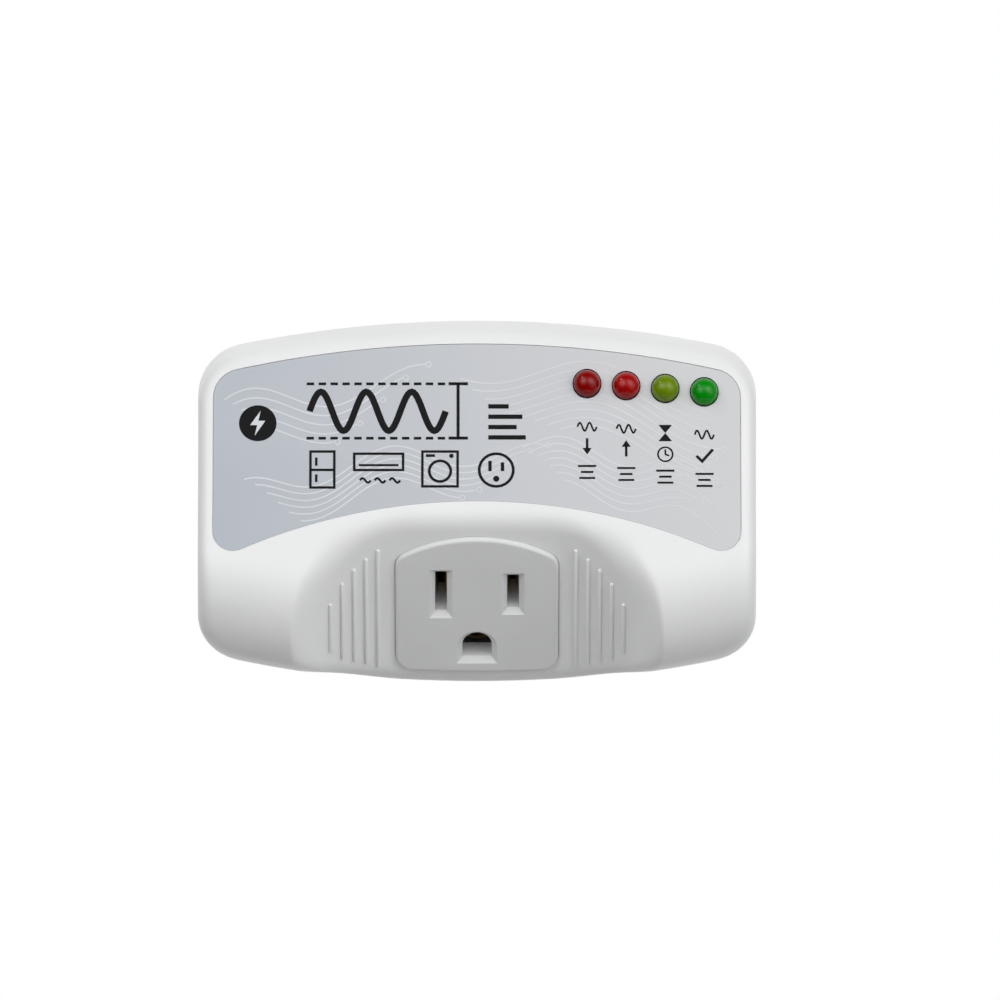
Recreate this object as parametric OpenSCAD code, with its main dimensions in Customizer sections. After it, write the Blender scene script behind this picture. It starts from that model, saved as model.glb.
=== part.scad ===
// Plug-in voltage protector for one appliance, with a tilted label plane,
// four lamps and a grounded socket in a scooped arch.
// The origin is the root of the ground pin on the wall face, +Z is up and
// the front looks along -Y.

/* [Housing] */
// Width of the housing
housing_w = 99; // [94:0.5:106]
// Height of the ground pin above the lowest edge
pin_rise = 25.6; // [24:0.2:27]
// Distance of the label plane from the wall at the top edge
top_out = 28; // [26:0.5:30]
// Tilt of the label plane from the wall, in degrees
label_tilt = 22; // [21:0.5:24]
// Distance of the parting line from the wall
parting_out = 12; // [11.5:0.25:13]
// Thickness of the moulded walls
wall_t = 2.2; // [1.8:0.1:2.3]
// Radius of the long curved top and bottom edges
edge_arc_r = 215; // [200:5:260]
// Radius of the corners seen from the front
corner_r = 9.5; // [9:0.25:10.5]
// Rounding of the front edges
edge_r = 2.5; // [1.5:0.25:3]
// Draft of the front cover's side walls over their depth
draft = 0.4; // [0.2:0.1:0.5]
// Rounding at the foot of the label plane
belly_r = 14.5; // [13.5:0.5:15.5]

/* [Socket arch] */
// Distance from the label's foot down to the ridge over the socket
ridge_gap = 3.55; // [3:0.05:5]
// Distance from the ridge down to the top of the socket face
face_gap = 2.9; // [2.6:0.1:4]
// How much lower the front cover reaches below the socket
foot_bulge = 0.8; // [0:0.1:1]
// Distance from the foot of the socket face down to the lowest edge
foot_gap = 2.2; // [1.8:0.1:4]
// Angle of the socket plane from the wall, facing down, in degrees
socket_tilt = 32; // [31:0.5:33]
// Half width of the flat floor of the scoop
scoop_flat = 11.5; // [10.5:0.5:12]
// Radius of the scoop's side walls
scoop_r = 22; // [21:0.5:24]
// Blend of the ridge at the middle
ridge_blend = 2.1; // [1.5:0.1:3]
// Blend of the ridge at the sides
flank_blend = 5.4; // [4.5:0.1:6]
// Width of a grip rib
rib_w = 0.6; // [0.4:0.1:0.9]
// Height of a grip rib over the scoop
rib_h = 0.5; // [0.3:0.1:0.8]
// Distance of the first grip rib from the side of the socket face
rib_gap = 3; // [2.6:0.1:3.6]
// Distance from one grip rib to the next
rib_pitch = 2.1; // [1.9:0.05:2.2]

/* [Socket face] */
// Distance from the bevel of a slot to the side of the face
face_side = 6; // [5.4:0.1:7]
// Distance from the bevel of the grounding hole to the foot of the face
face_foot = 2; // [1.6:0.1:3]
// How far the face stands proud of the scoop
face_proud = 1; // [0.6:0.1:1.4]
// Radius of the arched top of the face
face_arch_r = 25.3; // [24:0.5:40]
// Corner radius of the face
face_corner_r = 3.2; // [2.5:0.1:4]
// Height of the slot line above the middle of the face
slot_rise = 2.75; // [2.5:0.05:3]
// Distance between the two blade slots
slot_gap = 12.7; // [12.6:0.05:12.8]
// Distance from the slot line down to the grounding hole
ground_drop = 11.9; // [11.8:0.05:12]
// Height of the neutral slot
neutral_slot_h = 8.7; // [8.2:0.1:9]
// Height of the line slot
line_slot_h = 7.2; // [6.8:0.1:7.6]
// Width of both slots
slot_w = 2.1; // [1.9:0.1:2.4]
// Radius of the grounding hole
ground_hole_r = 2.6; // [2.5:0.05:2.8]
// Bevel round each opening of the face
bevel = 1; // [0.6:0.1:1.2]

/* [Plug] */
// Width of a blade
blade_w = 6.35; // [6.2:0.05:6.5]
// Thickness of a blade
blade_t = 1.5; // [1.4:0.05:1.6]
// Length of a blade outside the wall face
blade_l = 16.6; // [16:0.2:18.2]
// Radius of the ground pin
pin_r = 2.38; // [2.3:0.02:2.42]
// Length of the ground pin outside the wall face
pin_l = 20.6; // [19:0.2:22]
// Radius of the hole near a blade's tip
blade_hole_r = 1.6; // [1.4:0.1:1.8]

/* [Label and lamps] */
// Distance from the side of the label to the side of the housing
label_side = 3.1; // [2.8:0.1:5]
// Height of the label at its middle, along its slope
label_h = 28.8; // [27:0.2:32]
// Distance of the label's top from the top edge, along the slope
label_drop = 2.85; // [2.7:0.05:3.2]
// Radius of the label's curved top
label_top_r = 192; // [185:1:200]
// Radius of the label's arched foot
label_foot_r = 102; // [98:1:108]
// Thickness of the label
label_t = 0.25; // [0.15:0.05:0.3]
// Depth of the label's pocket
pocket_t = 0.4; // [0.3:0.05:0.5]
// Radius of a lamp
lamp_r = 2.5; // [2.4:0.05:2.6]
// Distance of the last lamp from the side of the label
lamp_side = 6.36; // [5.5:0.02:8]
// Distance from one lamp to the next
lamp_pitch = 6.88; // [6.8:0.02:6.9]
// Distance from the top edge down to the row of lamps, at the middle
lamp_drop = 9; // [8.8:0.1:9.3]
// Radius of the arc on which the lamps stand
lamp_arc_r = 437; // [400:1:480]
// Length of a lamp from its flange to its tip
lamp_l = 8.6; // [8.2:0.1:9]

/* [Board and relay] */
// Distance of the circuit board from the wall
board_out = 9.4; // [9.2:0.1:9.6]
// Thickness of the circuit board
board_t = 1.6; // [1.2:0.1:1.6]
// Width of the relay
relay_w = 19; // [18:0.2:22]
// Height of the relay as it stands, from its lower to its upper side
relay_l = 30; // [29:0.2:34]
// Depth of the relay over the board
relay_h = 16.2; // [15.5:0.1:17]
// Angle between the released and the pulled-in armature, in degrees
armature_swing = 3.5; // [2.5:0.1:3.6]

/* [Hidden] */
$fn = 48;

// Up is the height above the ground pin, out is the distance from the wall
overrun = 1;
snug = 0.1;
loose = 0.3;
half_w = housing_w/2;
label_w = housing_w - 2*label_side;
face_w = slot_gap + slot_w + 2*bevel + 2*face_side;
face_h = 2*(ground_drop - slot_rise + ground_hole_r + bevel + face_foot);
ridge_drop = (label_drop + label_h)*cos(label_tilt) + ridge_gap;
face_drop = ridge_drop + face_gap + face_h/2*cos(socket_tilt);
housing_h = face_drop + face_h/2*cos(socket_tilt) + foot_gap;
top_up = housing_h - pin_rise;
bottom_up = -pin_rise;
ridge_up = top_up - ridge_drop;
face_up = top_up - face_drop;
rib_first = face_w/2 + rib_gap;

// Centres of the corner roundings and of the two long edge arcs
corner_x = half_w - corner_r;
corner_rise = sqrt(pow(edge_arc_r - corner_r, 2) - pow(corner_x, 2));
top_centre_up = top_up - edge_arc_r;
bottom_centre_up = bottom_up + edge_arc_r;
corner_top_up = top_centre_up + corner_rise;
corner_bottom_up = bottom_centre_up - corner_rise;

// Outline of the housing: its highest and lowest point at a station x, drawn in by an inset
function past_corner(x, inset) =
    abs(x)*(edge_arc_r - corner_r) > corner_x*(edge_arc_r - inset);
function corner_reach(x, inset) =
    sqrt(max(0, pow(corner_r - inset, 2) - pow(abs(x) - corner_x, 2)));
function arc_reach(x, inset) = sqrt(pow(edge_arc_r - inset, 2) - x*x);
function top_at(x, inset) = past_corner(x, inset) ?
    corner_top_up + corner_reach(x, inset) : top_centre_up + arc_reach(x, inset);
function bottom_at(x, inset) = past_corner(x, inset) ?
    corner_bottom_up - corner_reach(x, inset) : bottom_centre_up - arc_reach(x, inset) - bulge(x);
// The front cover reaches a little lower below the socket than the arc
bulge_from_share = 0.26;
bulge_to_share = 0.56;
function bulge(x) =
    let (
        far = (bulge_to_share - abs(x)/half_w)/(bulge_to_share - bulge_from_share),
        share = min(max(far, 0), 1)
    )
    foot_bulge*share*share*(3 - 2*share);

// Distance of a point from the outline, measured inwards
function edge_gap(x, up) =
    let (ax = abs(x), above = up - top_centre_up, below = bottom_centre_up - up)
    up > corner_top_up && ax*corner_rise > corner_x*above ?
        corner_r - norm([ax - corner_x, up - corner_top_up]) :
    up < corner_bottom_up && ax*corner_rise > corner_x*below ?
        corner_r - norm([ax - corner_x, up - corner_bottom_up]) :
    min(half_w - ax, edge_arc_r - norm([x, above]), edge_arc_r + bulge(x) - norm([x, below]));

// The front surface is the softer minimum of the label plane with its round belly
// and of the scoop, both drawn in by the depth of the wall where the inside is meant
function label_out(up, inset) =
    top_out + (top_up - up)*tan(label_tilt) - inset/cos(label_tilt);
function belly_out(x, up, inset) =
    let (
        centre_up = bottom_up + edge_arc_r - arc_reach(x, 0) + belly_r,
        centre_out = label_out(centre_up, belly_r),
        r = belly_r - inset,
        rise = up - centre_up
    )
    rise > r*sin(label_tilt) ? label_out(up, inset) :
        centre_out + sqrt(max(0, r*r - rise*rise));
function scoop_rise(x, inset) =
    let (r = scoop_r + inset, over = min(max(abs(x) - scoop_flat, 0), r))
    r - sqrt(r*r - over*over);
function scoop_out(x, up, inset) =
    label_out(ridge_up, 0) - (ridge_up - up)*tan(socket_tilt)
    + (scoop_rise(x, inset) - inset)/cos(socket_tilt);
flank_from_share = 0.36;
flank_to_share = 0.57;
function blend_at(x) =
    let (
        far = (abs(x)/half_w - flank_from_share)/(flank_to_share - flank_from_share),
        share = min(max(far, 0), 1)
    )
    ridge_blend + (flank_blend - ridge_blend)*share*share*(3 - 2*share);
function soft_min(a, b, blend) = min(a, b) - pow(max(blend - abs(a - b), 0), 2)/(4*blend);
function surface_out(x, up, inset) =
    soft_min(belly_out(x, up, inset), scoop_out(x, up, inset), blend_at(x));
function edge_fall(gap) =
    gap >= edge_r ? 0 : edge_r - sqrt(edge_r*edge_r - pow(edge_r - max(gap, 0), 2));
function front_out(x, up) = surface_out(x, up, 0) - edge_fall(edge_gap(x, up) - draft);
function inside_out(x, up) = surface_out(x, up, wall_t);

// Socket plane: its middle and the tilt that its pieces share
face_out = scoop_out(0, face_up, 0);

// Frames of reference: wall_frame has X right, Y up and Z out of the wall
module wall_frame() {
    rotate([90, 0, 0]) children();
}
module socket_frame() {
    wall_frame() translate([0, face_up, face_out]) rotate([socket_tilt, 0, 0]) children();
}
module label_frame() {
    wall_frame() translate([0, top_up, top_out]) rotate([-label_tilt, 0, 0]) children();
}

// Points of an arc from one angle to another
function arc(centre, r, from, to, steps) =
    [for (i = [0 : steps]) let (a = from + (to - from)*i/steps) centre + r*[cos(a), sin(a)]];
function mirrored(points) = [for (i = [len(points) - 1 : -1 : 0]) [-points[i][0], points[i][1]]];

// Outline with a curved top and foot and round corners, counter-clockwise.
// foot_r is above zero where the foot arches upwards and below zero where it bulges.
function panel(half, top, foot, top_r, foot_r, top_corner, foot_corner, steps) =
    let (
        side = sign(foot_r),
        top_centre = [0, top - top_r],
        top_x = half - top_corner,
        top_pivot = [top_x, top_centre[1] + sqrt(pow(top_r - top_corner, 2) - top_x*top_x)],
        foot_centre = [0, foot - foot_r],
        foot_x = half - foot_corner,
        foot_pivot = [foot_x, foot_centre[1]
            + side*sqrt(pow(foot_r + foot_corner, 2) - foot_x*foot_x)],
        to_foot = side*(foot_centre - foot_pivot),
        foot_angle = atan2(to_foot[1], to_foot[0]),
        foot_end = atan2(foot_pivot[1] - foot_centre[1], foot_x),
        top_end = atan2(top_pivot[1] - top_centre[1], top_x),
        foot_arc = arc(foot_centre, abs(foot_r), side*90, foot_end, steps),
        foot_turn = arc(foot_pivot, foot_corner, foot_angle, 0, steps),
        top_turn = arc(top_pivot, top_corner, 0, top_end, steps),
        top_arc = arc(top_centre, top_r, top_end, 90, steps),
        right = concat(
            [for (i = [0 : steps - 1]) foot_arc[i]],
            [for (i = [0 : steps]) foot_turn[i]],
            [for (i = [0 : steps]) top_turn[i]],
            [for (i = [1 : steps - 1]) top_arc[i]]
        ),
        left = mirrored(right)
    )
    concat(right, [top_arc[steps]], [for (i = [0 : len(left) - 2]) left[i]]);
function housing_outline(inset, steps) = panel(
    half_w - inset, top_up - inset, bottom_up + inset,
    edge_arc_r - inset, inset - edge_arc_r, corner_r - inset, corner_r - inset, steps);

// Closed solid through rings of equal count, given counter-clockwise from the lowest up
module skin(rings) {
    n = len(rings[0]);
    last = (len(rings) - 1)*n;
    sides = [
        for (k = [0 : len(rings) - 2], i = [0 : n - 1])
            let (a = k*n + i, b = k*n + (i + 1)%n)
            each [[a, a + n, b + n], [a, b + n, b]]
    ];
    foot = [for (i = [0 : n - 1]) i];
    head = [for (i = [n - 1 : -1 : 0]) last + i];
    polyhedron([for (ring = rings) each ring], concat([foot], sides, [head]));
}
function lifted(outline, out) = [for (p = outline) [p[0], p[1], out]];

// Solid between a flat back and a curved front, over the housing's outline.
// A row is given by its share of the height and its distance from there.
function row_up(x, row, inset) =
    let (low = bottom_at(x, inset)) low + (top_at(x, inset) - low)*row[0] + row[1];
module relief(stations, rows, front_inset, back_inset, back_out, front) {
    nx = len(stations);
    nr = len(rows);
    spread = (half_w - back_inset)/(half_w - front_inset);
    grid = [
        for (x = stations, row = rows)
            let (up = row_up(x, row, front_inset)) [x, up, front(x, up)]
    ];
    rim = concat(
        [for (i = [0 : nx - 1]) [i, 0]],
        [for (j = [1 : nr - 1]) [nx - 1, j]],
        [for (i = [nx - 2 : -1 : 0]) [i, nr - 1]],
        [for (j = [nr - 2 : -1 : 1]) [0, j]]
    );
    back = [
        for (place = rim)
            let (x = stations[place[0]]*spread)
            [x, row_up(x, rows[place[1]], back_inset), back_out]
    ];
    faces = [
        for (i = [0 : nx - 2], j = [0 : nr - 2])
            let (a = i*nr + j, b = a + nr)
            each stations[i] < 0 ?
                [[a, a + 1, b], [a + 1, b + 1, b]] :
                [[a, a + 1, b + 1], [a, b + 1, b]]
    ];
    n = len(rim);
    walls = [
        for (k = [0 : n - 1])
            let (
                m = (k + 1)%n,
                a = rim[k][0]*nr + rim[k][1],
                b = rim[m][0]*nr + rim[m][1],
                c = len(grid) + k,
                d = len(grid) + m
            )
            each [[a, b, c], [b, d, c]]
    ];
    // The cap starts at the middle of the foot, so that its triangles have no three points in line
    cap = [for (k = [0 : n - 1]) len(grid) + (k + floor(nx/2))%n];
    polyhedron(concat(grid, back), concat(faces, walls, [cap]));
}

// Stations and rows of the front surface, closer where it bends
function spaced(from, to, steps) = [for (i = [0 : steps - 1]) from + (to - from)*i/steps];
function half_stations(inset, flat_steps, flank_steps, wing_steps, corner_steps) = concat(
    spaced(0, scoop_flat + scoop_r*scoop_share, flat_steps),
    spaced(scoop_flat + scoop_r*scoop_share, scoop_flat + scoop_r, flank_steps),
    spaced(scoop_flat + scoop_r, corner_x, wing_steps),
    [for (i = [0 : corner_steps]) corner_x + (corner_r - inset)*sin(90*i/corner_steps)]
);
function both_sides(half) =
    concat([for (i = [len(half) - 1 : -1 : 1]) -half[i]], half);
edge_shares = [0, 0.13, 0.5, 1];
scoop_share = 0.4;
function edge_rows(share, side) = [for (s = edge_shares) [share, side*s*edge_r]];
function between_edges(share) = [share, edge_r*(1 - 2*share)];
arch_share = 0.6;
function front_rows(arch_steps, label_steps) = concat(
    edge_rows(0, 1),
    [for (i = [1 : arch_steps]) between_edges(arch_share*i/arch_steps)],
    [for (i = [1 : label_steps - 1]) between_edges(arch_share + (1 - arch_share)*i/label_steps)],
    [for (i = [3 : -1 : 0]) edge_rows(1, -1)[i]]
);

// Sizes of the screws, bosses and posts
screw_r = 1.4;
screw_head_r = 2.7;
screw_head_t = 1.8;
screw_l = 14;
boss_r = 4.6;
cover_post_r = 3.2;
screw_seat_depth = 3.5;
screw_seat_out = parting_out - screw_seat_depth;
screw_side = 9.5;
screw_inset_top = 7.8;
screw_inset_foot = 12.2;
housing_screw_places = [
    [0, top_up - screw_inset_top],
    [screw_side - half_w, bottom_up + screw_inset_foot],
    [half_w - screw_side, bottom_up + screw_inset_foot]
];
board_post_r = 2.4;
board_screw_r = 1;
board_screw_head_r = 1.9;
board_screw_l = 5;
corner_post_side = 11.4;
corner_post_drop = 9.4;
middle_post_drop = 16.4;
foot_post_side = 18.3;
foot_post_rise = 8.3;
board_posts = [
    [corner_post_side - half_w, top_up - corner_post_drop],
    [0, top_up - middle_post_drop],
    [foot_post_side - half_w, bottom_up + foot_post_rise],
    [half_w - foot_post_side, bottom_up + foot_post_rise]
];

// Contacts and sleeve of the socket, and the block that holds them
pocket_w = 4.6;
pocket_h = 9.6;
pocket_floor = 2.7;
contact_t = 0.7;
contact_h = 7.4;
contact_open = 3.4;
contact_pinch = 1;
contact_room = 1;
tail_w = 3;
tail_l = 5;
pin_play = 0.07;
sleeve_t = 0.6;
sleeve_r = pin_r + pin_play;
sleeve_room = 6.2;
sleeve_drop = 1.6;
base_side = 2.55;
base_edge = 1;
base_brow = 1.95;
base_gap = 0.8;
base_w = slot_gap + pocket_w + 2*base_side;
base_foot = ground_drop - slot_rise + sleeve_r + sleeve_t + base_edge;
base_head = slot_rise + pocket_h/2 + base_brow;
ear_t = 2;
ear_w = 6;

// Screws that hold the socket and the blade carrier
socket_screw_r = 1.1;
socket_post_r = 2.3;
socket_post_gap = 0.5;
socket_post_x = base_w/2 + socket_post_gap + socket_post_r;
socket_post_y = 6;
socket_post_l = 7;
carrier_screw_r = 0.9;
carrier_screw_gap = 4.65;
carrier_screw_x = slot_gap/2 + carrier_screw_gap;
carrier_screw_up = 1.4;

// Sizes of the rear cover's taper and lip
rear_taper = 2.6;
rear_round = 1.2;
rear_round_shares = [0.3, 0.7];
lip_t = 1.1;
lip_l = 1.8;
shadow_gap = 0.15;

// Sizes of the socket face
flange_t = 1.6;
flange_side = 0.2;
flange_w = 2*(socket_post_x + socket_post_r + flange_side);
flange_h = 13;
flange_drop_share = 0.6;
face_back = -wall_t - flange_t;
face_round = 0.8;
ground_up = slot_rise - ground_drop;
slot_up = ground_drop;

// Corner radii of the label and how far the lamps stand out
label_corner_r = 5.2;
label_foot_corner_r = 3.5;
lamp_stand = 2.3;
function lamp_x(i) = label_w/2 - lamp_side - (3 - i)*lamp_pitch;
function lamp_up(i) =
    top_up - lamp_drop - lamp_arc_r + sqrt(lamp_arc_r*lamp_arc_r - pow(lamp_x(i), 2));
function lamp_base_out(i) = label_out(lamp_up(i), 0) + lamp_stand - lamp_l;
function label_outline(inset) = panel(
    label_w/2 - inset, -label_drop - inset, -label_drop - label_h + inset,
    label_top_r - inset, label_foot_r + inset, label_corner_r - inset,
    label_foot_corner_r - inset, 10);
function face_outline(inset) = panel(
    face_w/2 - inset, face_h/2 - inset, -face_h/2 + inset,
    face_arch_r - inset, inset - edge_arc_r, face_corner_r - inset,
    face_corner_r - inset, 8);

// Places on the socket face, as shares of its height, where each grip rib starts and ends
rib_top_shares = [0.43, 0.38, 0.326, 0.253, 0.14];
rib_foot_shares = [-0.46, -0.417, -0.37, -0.32, -0.227];
module grip_rib(i, side) {
    x = rib_first + i*rib_pitch;
    low = rib_foot_shares[i]*face_h;
    high = rib_top_shares[i]*face_h;
    socket_frame() translate([side*x, low, scoop_rise(x, 0)]) {
        translate([0, 0, rib_h - rib_w/2]) rotate([-90, 0, 0])
            cylinder(r = rib_w/2, h = high - low);
        translate([-rib_w/2, 0, -wall_t/2])
            cube([rib_w, high - low, wall_t/2 + rib_h - rib_w/2]);
    }
}
module cover_posts() {
    for (place = housing_screw_places)
        wall_frame() translate([place[0], place[1], parting_out])
            cylinder(r = cover_post_r, h = housing_h);
    for (side = [-1, 1])
        socket_frame() translate([side*socket_post_x, socket_post_y, -wall_t - socket_post_l])
            cylinder(r = socket_post_r, h = socket_post_l + 2*wall_t);
}
module lamp_bores(r) {
    for (i = [0 : 3])
        wall_frame() translate([lamp_x(i), lamp_up(i), parting_out])
            cylinder(r = r, h = housing_h);
}
module front_cover() {
    color("whitesmoke") {
        difference() {
            wall_frame() relief(
                both_sides(half_stations(draft, 5, 11, 2, 6)), front_rows(20, 4),
                draft, 0, parting_out, function (x, up) front_out(x, up));
            difference() {
                wall_frame() relief(
                    both_sides(half_stations(wall_t + draft, 4, 7, 1, 6)),
                    [for (i = [0 : 20]) [i/20, 0]],
                    wall_t + draft, wall_t, parting_out - overrun,
                    function (x, up) inside_out(x, up));
                cover_posts();
            }
            label_frame() translate([0, 0, -pocket_t])
                linear_extrude(pocket_t + overrun) polygon(label_outline(-snug));
            lamp_bores(lamp_r + snug);
            socket_frame() translate([0, 0, face_back - overrun])
                linear_extrude(belly_r) polygon(face_outline(-snug));
            for (place = housing_screw_places)
                wall_frame() translate([place[0], place[1], parting_out - overrun])
                    cylinder(r = screw_r + snug/2, h = screw_l);
            for (side = [-1, 1])
                socket_frame()
                    translate([side*socket_post_x, socket_post_y, -wall_t - socket_post_l - overrun])
                    cylinder(r = socket_screw_r + snug/2, h = socket_post_l);
        }
        for (i = [0 : 4], side = [-1, 1]) grip_rib(i, side);
    }
}

// Rear cover: a tapered tray with a lip that enters the front cover
module lip_ring(outer, low, high) {
    translate([0, 0, low]) linear_extrude(high - low) difference() {
        polygon(housing_outline(outer, 6));
        polygon(housing_outline(wall_t + shadow_gap + lip_t, 6));
    }
}
module rear_cover() {
    color("white") wall_frame() difference() {
        union() {
            difference() {
                skin([
                    lifted(housing_outline(rear_taper, 6), 0),
                    lifted(housing_outline(rear_taper - rear_round*rear_round_shares[1], 6),
                        rear_round*rear_round_shares[0]),
                    lifted(housing_outline(rear_taper - rear_round, 6), rear_round),
                    lifted(housing_outline(shadow_gap, 6), parting_out)
                ]);
                skin([
                    lifted(housing_outline(rear_taper + wall_t - rear_round*rear_round_shares[1], 6), wall_t),
                    lifted(housing_outline(wall_t + shadow_gap, 6), parting_out + overrun)
                ]);
            }
            lip_ring(wall_t - shadow_gap, parting_out - 2*lip_l, parting_out);
            lip_ring(wall_t + shadow_gap, parting_out - overrun, parting_out + lip_l);
            for (place = housing_screw_places)
                translate([place[0], place[1], wall_t/2])
                    cylinder(r = boss_r, h = parting_out - wall_t/2);
            for (place = board_posts)
                translate([place[0], place[1], wall_t/2])
                    cylinder(r = board_post_r, h = board_out - wall_t/2);
        }
        for (place = housing_screw_places) translate([place[0], place[1], -overrun]) {
            cylinder(r = screw_r + snug, h = parting_out + 2*overrun);
            cylinder(r = screw_head_r + loose, h = screw_seat_out + overrun);
        }
        for (place = board_posts)
            translate([place[0], place[1], board_out + board_t - board_screw_l])
                cylinder(r = board_screw_r + snug/2, h = board_screw_l);
        for (side = [-1, 1]) {
            translate([side*slot_gap/2, slot_up, wall_t/2])
                cube([blade_t + snug, blade_w + snug, wall_t + overrun], center = true);
            translate([side*carrier_screw_x, carrier_screw_up, wall_t/3])
                cylinder(r = carrier_screw_r + snug/2, h = wall_t);
        }
        translate([0, 0, -overrun]) cylinder(r = pin_collar_r + snug/2, h = wall_t + 2*overrun);
    }
}

module label() {
    color("lightsteelblue") difference() {
        label_frame() translate([0, 0, -pocket_t])
            linear_extrude(label_t) polygon(label_outline(0));
        lamp_bores(lamp_r + 2*snug);
    }
}

// Openings of the socket face, each with a bevel at its mouth
function box_ring(w, h, out) =
    [[-w/2, -h/2, out], [w/2, -h/2, out], [w/2, h/2, out], [-w/2, h/2, out]];
function hole_outline(grow) =
    let (r = ground_hole_r + grow)
    concat([[-r, -r], [r, -r]], arc([0, 0], r, 0, 180, 16));
module slot_cut(h) {
    translate([0, 0, (face_back + face_proud)/2])
        cube([slot_w, h, face_proud - face_back + 2*overrun], center = true);
    skin([
        box_ring(slot_w, h, face_proud - bevel),
        box_ring(slot_w + 2*bevel, h + 2*bevel, face_proud),
        box_ring(slot_w + 2*bevel, h + 2*bevel, face_proud + overrun)
    ]);
}
round_share = 0.3;
module receptacle_face() {
    color("gainsboro") socket_frame() difference() {
        union() {
            skin([
                lifted(face_outline(0), face_back),
                lifted(face_outline(0), face_proud - face_round),
                lifted(face_outline(face_round*round_share), face_proud - face_round*round_share),
                lifted(face_outline(face_round), face_proud)
            ]);
            difference() {
                translate([-flange_w/2, socket_post_y - flange_h*flange_drop_share, face_back])
                    cube([flange_w, flange_h, flange_t]);
                for (side = [-1, 1])
                    translate([side*socket_post_x, socket_post_y, face_back - overrun])
                        cylinder(r = socket_post_r + snug, h = flange_t + 2*overrun);
            }
        }
        translate([-slot_gap/2, slot_rise, 0]) slot_cut(neutral_slot_h);
        translate([slot_gap/2, slot_rise, 0]) slot_cut(line_slot_h);
        translate([0, ground_up, 0]) {
            translate([0, 0, face_back - overrun])
                linear_extrude(face_proud - face_back + 2*overrun) polygon(hole_outline(0));
            skin([
                lifted(hole_outline(0), face_proud - bevel),
                lifted(hole_outline(bevel), face_proud),
                lifted(hole_outline(bevel), face_proud + overrun)
            ]);
        }
    }
}

// Receptacle base: the block behind the face, with a pocket for each contact. Its lower
// back corner stands a gap off the blade carrier.
carrier_t = 3;
base_back_out = wall_t + carrier_t + base_gap;
base_l = (face_out - base_foot*sin(socket_tilt) - base_back_out)/cos(socket_tilt) + face_back;
base_back = face_back - base_l;
pocket_l = base_l - pocket_floor;
contact_l = pocket_l - contact_room;
sleeve_l = base_l - sleeve_room;
sleeve_front = face_back - sleeve_drop;
module receptacle_base() {
    color("darkgray") socket_frame() difference() {
        union() {
            translate([-base_w/2, -base_foot, base_back])
                cube([base_w, base_foot + base_head, base_l]);
            for (side = [-1, 1])
                translate([side*socket_post_x - ear_w/2, socket_post_y - ear_w/2,
                    -wall_t - socket_post_l - ear_t])
                    cube([ear_w, ear_w, ear_t]);
        }
        for (side = [-1, 1]) {
            translate([side*slot_gap/2, slot_rise, face_back - pocket_l/2 + overrun/2])
                cube([pocket_w, pocket_h, pocket_l + overrun], center = true);
            translate([side*slot_gap/2, slot_rise, base_back])
                cube([contact_t + loose, tail_w + loose, base_l], center = true);
            translate([side*socket_post_x, socket_post_y, -wall_t - socket_post_l - ear_t - overrun])
                cylinder(r = socket_screw_r + snug, h = ear_t + 2*overrun);
        }
        translate([0, ground_up, face_back - pocket_l])
            cylinder(r = sleeve_r + sleeve_t + snug, h = pocket_l + overrun);
        translate([0, ground_up - sleeve_r - sleeve_t/2, base_back])
            cube([tail_w + loose, sleeve_t + loose, base_l], center = true);
    }
}

// A blade contact: two leaves that pinch the blade, bent from one strip
bend_share = 0.35;
pinch_share = 0.72;
tail_share = 0.5;
strip_share = 0.8;
module blade_contact() {
    w = contact_open/2;
    p = contact_pinch/2;
    t = contact_t;
    l = contact_l;
    color("goldenrod") {
        translate([0, contact_h/2, -l]) rotate([90, 0, 0]) linear_extrude(contact_h)
            polygon([
                [-w, 0], [w, 0], [w, l*bend_share], [p + t, l*pinch_share], [w, l], [w - t, l],
                [p, l*pinch_share], [w - t, l*bend_share], [w - t, t], [t - w, t],
                [t - w, l*bend_share], [-p, l*pinch_share], [t - w, l], [-w, l],
                [-p - t, l*pinch_share], [-w, l*bend_share]
            ]);
        translate([-t/2, -tail_w/2, -l - tail_l]) cube([t, tail_w, tail_l + t/2]);
    }
}
contact_front = face_back - snug;
module neutral_contact() {
    socket_frame() translate([-slot_gap/2, slot_rise, contact_front]) blade_contact();
}
module line_contact() {
    socket_frame() translate([slot_gap/2, slot_rise, contact_front]) blade_contact();
}
module ground_contact() {
    color("goldenrod") socket_frame() translate([0, ground_up, 0]) difference() {
        union() {
            translate([0, 0, sleeve_front - sleeve_l])
                cylinder(r = sleeve_r + sleeve_t, h = sleeve_l);
            translate([-tail_w/2, -sleeve_r - sleeve_t, base_back - tail_l*tail_share])
                cube([tail_w, sleeve_t,
                    sleeve_front - sleeve_l*strip_share - base_back + tail_l*tail_share]);
        }
        translate([0, 0, sleeve_front - sleeve_l - overrun])
            cylinder(r = sleeve_r, h = sleeve_l + 2*overrun);
        translate([-sleeve_t/2, 0, sleeve_front - sleeve_l - overrun])
            cube([sleeve_t, 2*sleeve_r, sleeve_l + 2*overrun]);
    }
}

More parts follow.
